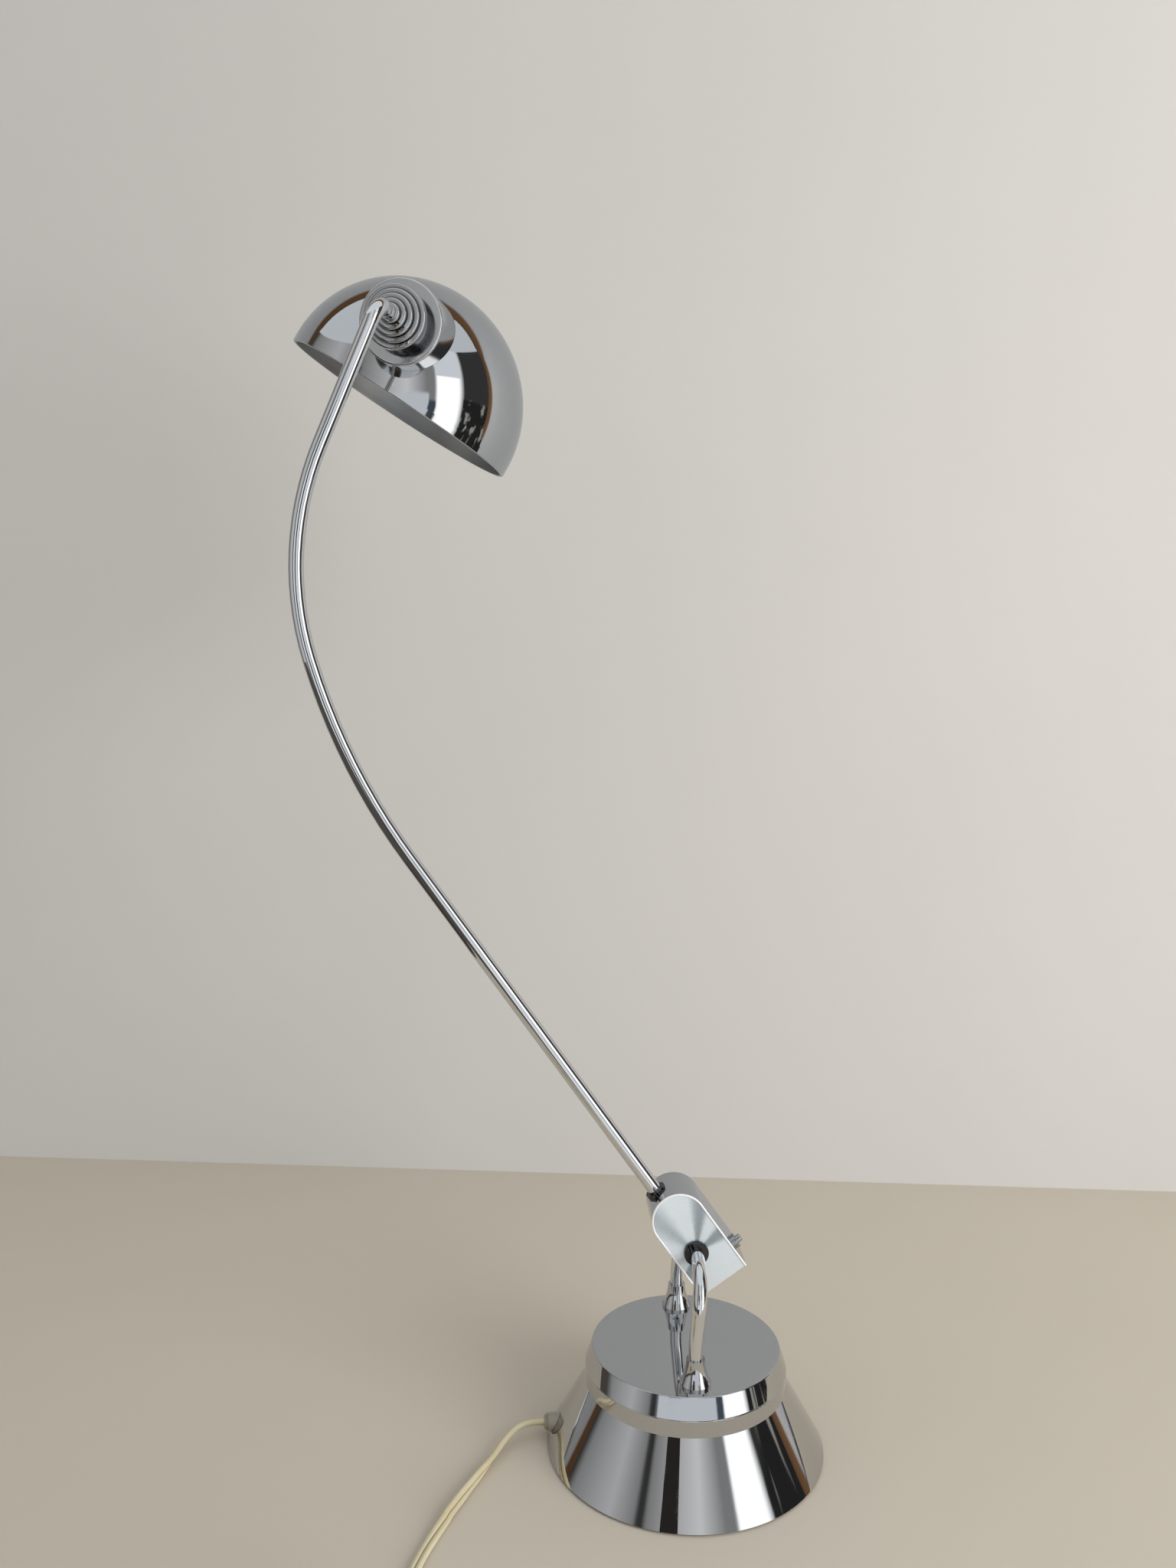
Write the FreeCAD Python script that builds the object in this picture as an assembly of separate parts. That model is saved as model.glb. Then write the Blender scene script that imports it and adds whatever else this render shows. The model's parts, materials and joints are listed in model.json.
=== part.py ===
import FreeCAD, Part
import math
import os

V = FreeCAD.Vector

# Chrome desk lamp: a flared round foot, a fork of two bent tubes, a tilting hinge case, a bent
# arm that turns in the case, and a half-round shade on a ringed swivel hub. Millimetres, +Z up,
# origin at the middle of the face the lamp rests on, arm leaning towards -X.

# Foot
base_radius = 78.0
neck_radius = 56.7
skirt_top = 38.2
band_height = 9.2
cap_height = 10.7
cap_top_radius = 51.2
cover_wall = 1.3
cap_wall = 1.4
band_flange = 4.2
locating_ring = 3.0
pad_thickness = 2.0
rim_lift = 1.0
plate_thickness = 2.5
ballast_clearance = 1.0
ballast_height = 20.0
bolt_radius = 3.0
bolt_head_flats = 10.0
bolt_head_height = 4.0
cap_boss_radius = 8.0
cap_boss_height = 8.5
plate_screw_radius = 2.0
plate_screw_circle = 40.0
plate_screw_length = 12.0
plate_screw_count = 3
terminal_size = V(22.0, 16.0, 11.0)
terminal_inset = 18.0
terminal_screw_radius = 1.8

# Fork
post_diameter = 7.5
post_wall = 1.0
post_spread = 40.2
post_tail = 12.0
post_rise = 22.0
post_lean_radius = 60.0
post_bend_radius = 22.0
post_end_margin = 1.0
pivot_x = 3.5
pivot_z = 118.0
ferrule_radius = 8.4
ferrule_neck_radius = 5.0
ferrule_height = 14.0
ferrule_waist = 5.9
post_nut_flats = 13.0
post_nut_height = 5.0
washer_thickness = 1.3
washer_radius = 7.5

# Hinge case
arm_lean = 35.7
case_radius = 15.4
case_reach = 20.3
case_tail = 22.4
case_offset = 3.0
case_width = 30.8
case_wall = 1.2
plate_recess = 0.6
end_plate_inset = 0.8
bush_flange_radius = 6.8
bush_flange = 1.5
bush_stem_wall = 1.6
clip_wall = 1.7
clip_thickness = 1.0
spring_washer_thickness = 0.6
socket_radius = 9.5
socket_height = 16.0
ring_radius = 5.9
ring_height = 1.2
ring_stem_radius = 4.95
ring_stem_depth = 4.4

# Push switch in the back of the case
switch_drop = 14.7
switch_size = V(9.5, 8.0, 8.5)
switch_collar_radius = 4.0
switch_collar_height = 2.0
switch_stem_radius = 3.0
button_radius = 2.2
button_proud = 2.8
button_travel = 1.5
button_pocket = 3.6

# Arm
tube_diameter = 8.0
tube_wall = 1.0
arm_turn = 9.6
arm_start = 10.0
arm_entry = 35.9
arm_straight = 231.3
arm_first_radius = 337.0
arm_first_turn = 20.3
arm_second_radius = 160.0
arm_second_turn = 40.8
arm_last_straight = 75.1
arm_end_radius = 10.0
arm_stub = 26.9
lead_diameter = 4.4
arm_nut_flats = 13.0
arm_nut_height = 4.0

# Swivel between arm and head, measured along its axis from the arm's plane
nose_reach = 23.4
nose_radius = 5.2
ring_step_radius = 2.9
ring_step_length = 2.4
ring_count = 5
collar_rings = 3
ring_round = 1.1
hub_back = 37.0
hub_neck_radius = 14.5
cup_face = 46.7
cup_radius = 22.9
cup_wall = 1.2
cup_edge_round = 1.2
nipple_radius = 5.0
nipple_bore = 3.2
nipple_seat = 27.1
nipple_end = 55.8
swivel_nut_flats = 14.0
swivel_nut_height = 4.0
fibre_washer = 1.0

# Shade
head_tilt = 67.3
shade_cant = 5.0
shade_offset = 136.0
shade_drop = 41.7
shade_skirt = 4.1
shade_radius = 73.4
shade_wall = 1.0
shade_rim_width = 2.2
shade_rim_height = 1.6

# Lampholder and bulb, on the swivel axis
bracket_plate = 57.0
bracket_thickness = 1.5
bracket_half_width = 17.5
bracket_depth = 16.0
bracket_foot = 3.5
holder_radius = 17.5
holder_length = 38.0
holder_floor = 5.8
holder_bore = 14.4
sleeve_wall = 0.65
sleeve_length = 28.0
contact_radius = 3.0
contact_height = 1.5
bulb_tip_radius = 4.5
bulb_tip_height = 1.0
bulb_seal_height = 4.0
bulb_seal_radius = 10.4
bulb_cap_radius = 13.2
bulb_cap_wall = 0.7
bulb_cap_length = 25.0
glass_radius = 27.5
glass_wall = 1.0
glass_centre = 134.5
glass_neck_radius = 12.3
glass_neck_length = 10.0
glass_shoulder_radius = 24.0
stem_radius = 4.0
stem_length = 34.0
filament_half = 11.0
filament_rise = 8.0
filament_radius = 0.6

# Cord, coil and plug
cord_diameter = 6.0
relief_y = 8.0
relief_z = 8.0
relief_reach = 2.0
relief_length = 20.0
relief_radius = 5.0
relief_tip_radius = 3.4
relief_neck_radius = 4.5
relief_flange_radius = 5.9
relief_flange = 2.0
inner_cord_diameter = 5.0
inner_cord_bend = 8.0
inner_cord_run = 9.0
floor_height = 3.1
coil_radius = 46.5
coil_pitch = 6.5
coil_height = 4.2
coil_layers_gap = 6.5
coil_inward = 6
coil_outward = 5
coil_distance = 70.0
coil_front = 165.0
tie_width = 7.0
tie_thickness = 0.9
tie_gap = 0.2
plug_length = 34.0
plug_width = 35.0
plug_neck_width = 15.0
plug_thickness = 14.0
plug_face_depth = 9.0
pin_radius = 2.0
pin_length = 19.0
pin_spacing = 18.6

# Clearances
running = 0.05
seat = 0.05
face_gap = 0.1

post_radius = post_diameter / 2
tube_radius = tube_diameter / 2
cord_radius = cord_diameter / 2
band_top = skirt_top + band_height
cap_base = band_top + seat
cap_top = cap_base + cap_height
plate_top = pad_thickness + plate_thickness
ballast_base = plate_top + face_gap
ballast_top = ballast_base + ballast_height
cap_under = cap_top - cap_wall
skirt_slope = (base_radius - neck_radius) / (skirt_top - rim_lift)
wall_across = cover_wall * math.sqrt(1 + skirt_slope ** 2)
hub_start = nose_reach + collar_rings * ring_step_length
case_half = case_width / 2
plate_outer = case_half - plate_recess
plate_inner = plate_outer - case_wall
bush_end = plate_inner - 0.2
clip_start = bush_end - spring_washer_thickness - clip_thickness - 2 * seat
post_end = clip_start - post_end_margin
case_inner_radius = case_radius - case_wall
switch_wall = case_offset + case_inner_radius
holder_start = bracket_plate + bracket_thickness
holder_seat = holder_start + holder_floor
bulb_tip = holder_seat + contact_height + seat
cap_start = bulb_tip + bulb_tip_height + 1.5
stem_start = cap_start + bulb_cap_length - glass_neck_length + 3.0
relief_outer_end = base_radius + relief_reach
relief_start = relief_outer_end - relief_length
ballast_radius = base_radius - skirt_slope * (ballast_top - rim_lift) - wall_across - ballast_clearance
outlet = V(-relief_outer_end, relief_y, relief_z)
coil_start = V(-relief_outer_end - coil_distance, -coil_front, coil_height)


def skirt_radius(z):
    """Outer radius of the foot's flared skirt at a height."""
    return base_radius - skirt_slope * (z - rim_lift)


def arc(start, middle, end):
    """One circular edge through three points."""
    return Part.Arc(start, middle, end).toShape()


def line(start, end):
    """One straight edge."""
    return Part.LineSegment(start, end).toShape()


def outline(points, place):
    """A closed face from flat points; a pair of points is an arc's middle and its end."""
    edges = []
    here = place(*points[0])
    first = here
    for point in points[1:]:
        if isinstance(point[0], tuple):
            there = place(*point[1])
            edges.append(arc(here, place(*point[0]), there))
        else:
            there = place(*point)
            edges.append(line(here, there))
        here = there
    if here.distanceToPoint(first) > 1e-6:
        edges.append(line(here, first))
    return Part.Face(Part.Wire(edges))


def turned(points):
    """A solid turned about the Z axis from (radius, height) points."""
    face = outline(points, lambda r, z: V(r, 0, z))
    return face.revolve(V(0, 0, 0), V(0, 0, 1), 360)


def turned_across(points):
    """A solid turned about the Y axis from (radius, distance along Y) points."""
    face = outline(points, lambda r, y: V(r, y, 0))
    return face.revolve(V(0, 0, 0), V(0, 1, 0), 360)


def washer(outer, inner, low, high):
    """A plain ring about the Z axis."""
    return turned([(inner, low), (outer, low), (outer, high), (inner, high)])


def washer_across(outer, inner, low, high):
    """A plain ring about the Y axis."""
    return turned_across([(inner, low), (outer, low), (outer, high), (inner, high)])


def hexagon(flats, low, high):
    """A hexagonal bar about the Z axis."""
    corner = flats / math.sqrt(3)
    points = []
    for side in range(6):
        angle = math.radians(60 * side)
        points.append((corner * math.cos(angle), corner * math.sin(angle)))
    face = outline(points, lambda x, y: V(x, y, low))
    return face.extrude(V(0, 0, high - low))


def across(shape):
    """Turns a shape about Z into the same shape about Y."""
    result = shape.copy()
    result.rotate(V(0, 0, 0), V(1, 0, 0), -90)
    return result


def moved(shape, offset):
    """A copy of a shape at an offset."""
    result = shape.copy()
    result.translate(offset)
    return result


def mirrored(shape):
    """The same shape on the other side of the arm's plane."""
    return shape.mirror(V(0, 0, 0), V(0, 1, 0))


def block(size, centre):
    """A box of a size about its centre."""
    return Part.makeBox(size.x, size.y, size.z, centre - size * 0.5)


def path_edges(points, radii):
    """Straight runs joined by tangent arcs, one radius for each inner point."""
    edges = []
    here = points[0]
    for index in range(1, len(points) - 1):
        back = (points[index - 1] - points[index]).normalize()
        ahead = (points[index + 1] - points[index]).normalize()
        half = back.getAngle(ahead) / 2
        reach = radii[index - 1] / math.tan(half)
        start = points[index] + back * reach
        end = points[index] + ahead * reach
        inward = (back + ahead).normalize()
        centre = points[index] + inward * (radii[index - 1] / math.sin(half))
        edges.append(line(here, start))
        edges.append(arc(start, centre - inward * radii[index - 1], end))
        here = end
    edges.append(line(here, points[-1]))
    return edges


def swept(edges, radius):
    """A round bar along joined edges."""
    wire = Part.Wire(edges)
    first = edges[0]
    start = first.valueAt(first.FirstParameter)
    direction = first.tangentAt(first.FirstParameter)
    ring = Part.Wire([Part.Circle(start, direction, radius).toShape()])
    return wire.makePipeShell([ring], True, False)


def pipe(edges, radius, wall):
    """A hollow tube along joined edges."""
    return swept(edges, radius).cut(swept(edges, radius - wall))


def hinge_frame(shape):
    """Puts a hinge case piece, built upright about the pivot, in its leaning place."""
    result = shape.copy()
    result.rotate(V(0, 0, 0), V(0, 1, 0), -arm_lean)
    result.translate(V(pivot_x, 0, pivot_z))
    return result


def arm_frame(shape):
    """Puts an arm piece, built upright in the XZ plane, in its turned and leaning place."""
    result = shape.copy()
    result.rotate(V(0, 0, 0), V(0, 0, 1), -arm_turn)
    return hinge_frame(result)


def head_frame(shape):
    """Puts a head piece, built with the swivel along Y and the shade facing down, in place."""
    result = shape.copy()
    result.rotate(V(0, 0, 0), V(0, 1, 0), head_tilt)
    result.translate(arm_corner())
    return arm_frame(result)


def round_edges(shape, radius, picked):
    """Rounds the edges that a test picks."""
    edges = [edge for edge in shape.Edges if picked(edge)]
    return shape.makeFillet(radius, edges)


def circle_at(height, radius):
    """A test for a full circular edge at a height about the Z axis."""
    def picked(edge):
        box = edge.BoundBox
        flat = abs(box.ZMin - height) < 0.01 and abs(box.ZMax - height) < 0.01
        return flat and abs(box.XMax - radius) < 0.01
    return picked


# Foot

def base_cover():
    """Flared chrome skirt with an upright band and a flange that carries the cap."""
    inner_neck = neck_radius - cover_wall
    flange_radius = neck_radius - band_flange
    shell = turned([
        (base_radius, rim_lift),
        (neck_radius, skirt_top),
        (neck_radius, band_top),
        (flange_radius, band_top),
        (flange_radius, band_top - cover_wall),
        (inner_neck, band_top - cover_wall),
        (inner_neck, skirt_top + (wall_across - cover_wall) / skirt_slope),
        (base_radius - wall_across, rim_lift),
    ])
    shell = round_edges(shell, 0.5, circle_at(band_top, neck_radius))
    hole = Part.makeCylinder(relief_neck_radius + running, base_radius, V(0, relief_y, relief_z), V(-1, 0, 0))
    return shell.cut(hole)


def base_cap():
    """Chrome lid: a bevelled ring up to the flat mirror top, with a nut boss underneath."""
    ring_outer = neck_radius - band_flange - running
    ring_inner = ring_outer - cap_wall
    lid = turned([
        (0, cap_top),
        (cap_top_radius, cap_top),
        (neck_radius, cap_base),
        (ring_outer, cap_base),
        (ring_outer, cap_base - locating_ring),
        (ring_inner, cap_base - locating_ring),
        (ring_inner, cap_base + locating_ring),
        (cap_top_radius - cap_wall, cap_under),
        (cap_boss_radius, cap_under),
        (cap_boss_radius, cap_under - cap_boss_height),
        (0, cap_under - cap_boss_height),
    ])
    lid = round_edges(lid, 0.7, circle_at(cap_top, cap_top_radius))
    lid = lid.cut(Part.makeCylinder(bolt_radius + running, cap_boss_height, V(0, 0, cap_under - cap_boss_height)))
    for side in (-1, 1):
        hole = Part.makeCylinder(post_radius + running, 3 * cap_wall, V(0, side * post_spread, cap_under - cap_wall))
        lid = lid.cut(hole)
    return lid


def base_plate():
    """Steel floor of the foot, seated in the skirt's cone and notched for the cord's outlet."""
    clear = wall_across + face_gap
    disc = turned([
        (0, pad_thickness),
        (skirt_radius(pad_thickness) - clear, pad_thickness),
        (skirt_radius(plate_top) - clear, plate_top),
        (0, plate_top),
    ])
    room = relief_flange_radius + 0.5
    notch = Part.makeBox(base_radius, 2 * room, base_radius,
                         V(-base_radius - relief_start + 0.5, relief_y - room, 0))
    return disc.cut(notch).cut(plate_screw_shapes(running))


def base_pad():
    """Soft disc that the lamp stands on."""
    disc = Part.makeCylinder(skirt_radius(pad_thickness) - wall_across - 1.5, pad_thickness)
    return disc


def ballast():
    """Cast weight with a slot for the cord, bolted up to the cap."""
    weight = Part.makeCylinder(ballast_radius, ballast_height, V(0, 0, ballast_base))
    head_room = bolt_head_flats / math.sqrt(3) + 0.7
    weight = weight.cut(Part.makeCylinder(head_room, bolt_head_height + seat, V(0, 0, ballast_base)))
    weight = weight.cut(Part.makeCylinder(bolt_radius + 0.3, ballast_top, V(0, 0, ballast_base)))
    slot = 2 * relief_flange_radius + 1.0
    depth = relief_start - inner_cord_run - inner_cord_diameter
    notch = Part.makeBox(ballast_radius, slot, 2 * ballast_height,
                         V(-depth - ballast_radius, relief_y - slot / 2, ballast_base - 1))
    weight = weight.cut(notch)
    return weight.cut(plate_screw_shapes(running))


def centre_bolt():
    """Hexagon bolt from under the weight into the cap's boss."""
    head_base = ballast_base
    head = hexagon(bolt_head_flats, head_base, head_base + bolt_head_height)
    shank_length = cap_under - 2.0 - head_base
    shank = Part.makeCylinder(bolt_radius, shank_length, V(0, 0, head_base))
    return head.fuse(shank).removeSplitter()


def plate_screw_shapes(extra):
    """Countersunk screws that hold the plate to the weight; extra is the clearance round them."""
    head_radius = 2 * plate_screw_radius + extra
    shank = plate_screw_radius + extra
    shapes = []
    for index in range(plate_screw_count):
        angle = math.radians(90 + 360 * index / plate_screw_count)
        screw = turned([
            (0, pad_thickness - extra),
            (head_radius, pad_thickness - extra),
            (head_radius, pad_thickness + 0.3),
            (shank, pad_thickness + 0.3 + plate_screw_radius),
            (shank, pad_thickness + plate_screw_length + extra),
            (0, pad_thickness + plate_screw_length + extra),
        ])
        spot = V(plate_screw_circle * math.cos(angle), plate_screw_circle * math.sin(angle), 0)
        shapes.append(moved(screw, spot))
    return Part.makeCompound(shapes)


def terminal_centre():
    """Middle of the terminal block, on top of the weight."""
    return V(-terminal_inset - terminal_size.x / 2, relief_y, ballast_top + terminal_size.z / 2)


def terminal_screw_shapes(extra):
    """Two clamp screws in the top of the terminal block."""
    centre = terminal_centre()
    shapes = []
    for side in (-1, 1):
        foot = centre + V(0, side * terminal_size.y / 4, -extra)
        shapes.append(Part.makeCylinder(terminal_screw_radius + extra, terminal_size.z / 2 + extra, foot))
    return Part.makeCompound(shapes)


def terminal_block():
    """Insulating block that joins the cord to the lamp's own leads."""
    return block(terminal_size, terminal_centre()).cut(terminal_screw_shapes(running))


def inner_cord():
    """Cord inside the foot, up through the weight's slot to the terminals."""
    top = terminal_centre().z
    turn = relief_start - inner_cord_run
    points = [
        V(-relief_start, relief_y, relief_z),
        V(-turn, relief_y, relief_z),
        V(-turn, relief_y, top),
        V(-terminal_inset - terminal_size.x, relief_y, top),
    ]
    return swept(path_edges(points, [inner_cord_bend, inner_cord_bend]), inner_cord_diameter / 2)


# Fork

def post_points(side):
    """Route of one fork tube, from under the cap up and in to the hinge case."""
    y = side * post_spread
    return [
        V(0, y, cap_top - post_tail),
        V(0, y, cap_top + post_rise),
        V(pivot_x, y, pivot_z),
        V(pivot_x, side * post_end, pivot_z),
    ]


def fork_post(side):
    """Bent tube of the fork, side -1 in front and +1 behind."""
    edges = path_edges(post_points(side), [post_lean_radius, post_bend_radius])
    return pipe(edges, post_radius, post_wall)


def post_ferrules():
    """Two bell-shaped sleeves where the fork tubes stand on the cap."""
    bore = post_radius + running
    bell = turned([
        (bore, 0),
        (ferrule_radius, 0),
        (ferrule_radius, 1.2),
        ((ferrule_waist, ferrule_height * 0.55), (ferrule_neck_radius, ferrule_height)),
        (bore, ferrule_height),
    ])
    return Part.makeCompound([moved(bell, V(0, side * post_spread, cap_top)) for side in (-1, 1)])


def post_washers():
    """Plain washers under the cap, one for each fork tube."""
    low = cap_under - washer_thickness
    ring = washer(washer_radius, post_radius + running, low, cap_under)
    return Part.makeCompound([moved(ring, V(0, side * post_spread, 0)) for side in (-1, 1)])


def post_nuts():
    """Nuts under the washers, one for each fork tube."""
    high = cap_under - washer_thickness - seat
    nut = hexagon(post_nut_flats, high - post_nut_height, high)
    nut = nut.cut(Part.makeCylinder(post_radius + running, cap_top))
    return Part.makeCompound([moved(nut, V(0, side * post_spread, 0)) for side in (-1, 1)])


def pivot_clips():
    """Clips on the fork tubes' ends, inside the hinge case."""
    outer = post_radius + clip_wall
    ring = washer_across(outer, post_radius + running, clip_start, clip_start + clip_thickness)
    rings = Part.makeCompound([ring, mirrored(ring)])
    return moved(rings, V(pivot_x, 0, pivot_z))


def pivot_washers():
    """Spring washers that press the bushes against the clips and hold the tilt by friction."""
    outer = post_radius + clip_wall
    low = clip_start + clip_thickness + seat
    ring = washer_across(outer, post_radius + running, low, low + spring_washer_thickness)
    rings = Part.makeCompound([ring, mirrored(ring)])
    return moved(rings, V(pivot_x, 0, pivot_z))


# Hinge case, built upright about the pivot: the arm along +Z, the fork's axis along Y

def case_face(radius, tail):
    """Flat outline of the case: a straight-sided tongue with one round end."""
    points = [
        (case_offset - radius, -tail),
        (case_offset + radius, -tail),
        (case_offset + radius, case_reach),
        ((case_offset, case_reach + radius), (case_offset - radius, case_reach)),
    ]
    return outline(points, lambda x, z: V(x, 0, z))


def case_slab(radius, tail, low, high):
    """The case's outline as a slab between two distances along Y."""
    return moved(case_face(radius, tail).extrude(V(0, high - low, 0)), V(0, low, 0))


def hinge_strip():
    """Chrome strip bent round the case's edge, open at the lower end."""
    outer = case_slab(case_radius, case_tail, -case_half, case_half)
    inner = case_slab(case_inner_radius, case_tail + 1, -case_half - 1, case_half + 1)
    strip = outer.cut(inner)
    strip = strip.cut(Part.makeCylinder(ring_stem_radius + running, 2 * case_radius, V(0, 0, case_reach)))
    switch_hole = switch_axis_piece(switch_stem_radius + running, 0, 2 * case_radius)
    return hinge_frame(strip.cut(switch_hole))


def hinge_plate(side):
    """Flat side of the case, let in a little from the strip's edge."""
    slab = case_slab(case_inner_radius - seat, case_tail, plate_inner, plate_outer)
    if side < 0:
        slab = mirrored(slab)
    bore = post_radius + running + bush_stem_wall + running
    hole = across(Part.makeCylinder(bore, 3 * case_half, V(0, 0, -1.5 * case_half)))
    return hinge_frame(slab.cut(hole))


def hinge_end_plate():
    """Plate that closes the case's lower end."""
    size = V(2 * (case_inner_radius - seat), 2 * (plate_inner - seat), case_wall)
    centre = V(case_offset, 0, -case_tail + end_plate_inset + case_wall / 2)
    return hinge_frame(block(size, centre))


def pivot_bush(side):
    """Flanged bush between the case and a fork tube."""
    bore = post_radius + running
    stem = bore + bush_stem_wall
    bush = turned_across([
        (bore, bush_end),
        (stem, bush_end),
        (stem, plate_outer + seat),
        (bush_flange_radius, plate_outer + seat),
        (bush_flange_radius, plate_outer + seat + bush_flange),
        (bore, plate_outer + seat + bush_flange),
    ])
    if side < 0:
        bush = mirrored(bush)
    return hinge_frame(bush)


def socket_top():
    """Height of the case's round end above the pivot, inside."""
    return case_reach + case_inner_radius


def arm_socket():
    """Metal block in the case's round end, in which the arm turns."""
    low = socket_top() - socket_height
    body = Part.makeCylinder(socket_radius, socket_height + 1, V(0, 0, low))
    body = body.common(case_slab(case_inner_radius - seat, case_tail, -plate_inner + seat, plate_inner - seat))
    body = body.cut(Part.makeCylinder(tube_radius + running, 2 * socket_height, V(0, 0, low - 1)))
    counterbore = case_reach + case_radius - ring_stem_depth - face_gap
    return hinge_frame(body.cut(Part.makeCylinder(ring_stem_radius + running, socket_height, V(0, 0, counterbore))))


def arm_ring():
    """Bright ring where the arm enters the case."""
    top = case_reach + case_radius
    bore = tube_radius + running
    flange = washer(ring_radius, bore, top - 2.5, top + ring_height)
    flange = flange.cut(case_slab(case_radius + seat, case_tail, -case_width, case_width))
    stem = washer(ring_stem_radius, bore, top - ring_stem_depth, top + ring_height)
    return hinge_frame(flange.fuse(stem).removeSplitter())


def switch_axis_piece(radius, near, far):
    """A round piece on the push switch's axis, between two distances from the case's middle."""
    return Part.makeCylinder(radius, far - near, V(near, 0, -switch_drop), V(1, 0, 0))


def switch_body():
    """Switch inside the case, behind its back face."""
    centre = V(switch_wall - face_gap - switch_size.x / 2, 0, -switch_drop)
    body = block(switch_size, centre)
    pocket = switch_axis_piece(button_radius + running, switch_wall - button_pocket, switch_wall)
    return hinge_frame(body.cut(pocket))


def switch_collar():
    """Threaded collar that holds the switch in the case."""
    face = switch_wall + case_wall
    head = switch_axis_piece(switch_collar_radius, face, face + switch_collar_height)
    stem = switch_axis_piece(switch_stem_radius, switch_wall, face)
    bore = switch_axis_piece(button_radius + running, 0, 2 * face)
    return hinge_frame(head.fuse(stem).cut(bore).removeSplitter())


def switch_button():
    """Small bright push button."""
    low = switch_wall - button_pocket + button_travel + 0.3
    high = switch_wall + case_wall + switch_collar_height + button_proud
    button = switch_axis_piece(button_radius, low, high)
    tip = [edge for edge in button.Edges if edge.BoundBox.XMin > high - 0.01]
    return hinge_frame(button.makeFillet(0.8, tip))


# Arm, built upright in the XZ plane and bending towards +X

def arm_route():
    """Edges of the arm's middle line up to the bend at its end, and the point they reach."""
    bend_start = arm_entry + arm_straight
    low = V(0, 0, arm_start)
    start = V(0, 0, bend_start)
    edges = [line(low, start)]
    heading = 0.0
    for radius, turn in ((arm_first_radius, arm_first_turn), (arm_second_radius, arm_second_turn)):
        side = V(math.cos(heading), 0, -math.sin(heading))
        centre = start + side * radius
        points = []
        for part in (0.5, 1.0):
            angle = heading + math.radians(turn) * part
            points.append(centre - V(math.cos(angle), 0, -math.sin(angle)) * radius)
        edges.append(arc(start, points[0], points[1]))
        start = points[1]
        heading += math.radians(turn)
    return edges, start, V(math.sin(heading), 0, math.cos(heading))


def arm_corner():
    """Point where the arm's line meets the swivel axis."""
    edges, start, direction = arm_route()
    return start + direction * arm_last_straight


def arm_edges(stub_end):
    """The arm's whole middle line, turned off sideways at the top as far as the stub's end."""
    edges, start, direction = arm_route()
    corner = arm_corner()
    stub = corner + V(0, stub_end, 0)
    return edges + path_edges([start, corner, stub], [arm_end_radius])


def arm_tube():
    """Chromed arm tube."""
    return arm_frame(pipe(arm_edges(arm_stub), tube_radius, tube_wall))


def arm_lead():
    """Two-core lead inside the arm tube."""
    return arm_frame(swept(arm_edges(arm_stub), lead_diameter / 2))


def arm_nut():
    """Nut on the arm tube's lower end, under the socket."""
    high = socket_top() - socket_height - 2 * face_gap - washer_thickness
    nut = hexagon(arm_nut_flats, high - arm_nut_height, high)
    return arm_frame(nut.cut(Part.makeCylinder(tube_radius + running, 2 * high)))


def arm_washer():
    """Spring washer that holds the arm's turn by friction."""
    high = socket_top() - socket_height - face_gap
    return arm_frame(washer(socket_radius - 2, tube_radius + running, high - washer_thickness, high))


# Swivel and head, built with the swivel along Y, the shade facing down

def ringed(first, last, start, end, bore_steps):
    """A stepped hub of rings from one number to the next, each with a rounded front edge."""
    points = [(bore_steps[0][0], start)]
    for index in range(first, last):
        radius = nose_radius + index * ring_step_radius
        low = start if index == first else nose_reach + index * ring_step_length
        high = end if index == last - 1 else nose_reach + (index + 1) * ring_step_length
        inset = ring_round * (1 - math.sqrt(0.5))
        points.append((radius - ring_round, low))
        points.append(((radius - inset, low + inset), (radius, low + ring_round)))
        points.append((radius, high))
    bore, depth = bore_steps[-1]
    points.append((bore, end))
    if len(bore_steps) == 2:
        points.append((bore, depth))
        points.append((bore_steps[0][0], depth))
    return turned_across(points)


def arm_collar():
    """The two smallest rings, fixed to the arm's end."""
    bores = [(tube_radius + running, 0), (nipple_radius + running, nipple_seat)]
    return arm_frame(moved(ringed(0, collar_rings, nose_reach, hub_start, bores), arm_corner()))


def swivel_hub():
    """The larger rings, turning with the shade."""
    bore = nipple_radius + running
    rings = ringed(collar_rings, ring_count, hub_start + face_gap, hub_back, [(bore, 0)])
    neck = washer_across(hub_neck_radius, bore, hub_back - 1, cup_face)
    return head_frame(rings.fuse(neck).removeSplitter())


def swivel_nipple():
    """Hollow threaded pin through the hub; the leads pass through it."""
    pin = washer_across(nipple_radius, nipple_bore, nipple_seat + seat, nipple_end)
    return arm_frame(moved(pin, arm_corner()))


def swivel_stack_start():
    """Distance along the swivel axis at which the nut's stack begins, inside the cup."""
    return cup_face + cup_wall + fibre_washer + face_gap


def friction_washer():
    """Fibre washer between the cup and the spring washer."""
    low = cup_face + cup_wall
    return head_frame(washer_across(swivel_nut_flats / 2 + 2, nipple_radius + running, low, low + fibre_washer))


def swivel_washer():
    """Spring washer under the swivel nut."""
    low = swivel_stack_start()
    ring = washer_across(swivel_nut_flats / 2 + 1.4, nipple_radius + running, low, low + spring_washer_thickness)
    return arm_frame(moved(ring, arm_corner()))


def swivel_nut():
    """Nut that keeps the head on the arm."""
    low = swivel_stack_start() + spring_washer_thickness + seat
    nut = across(hexagon(swivel_nut_flats, low, low + swivel_nut_height))
    nut = nut.cut(washer_across(nipple_radius + running, 0, low - 1, low + swivel_nut_height + 1))
    return arm_frame(moved(nut, arm_corner()))


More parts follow.
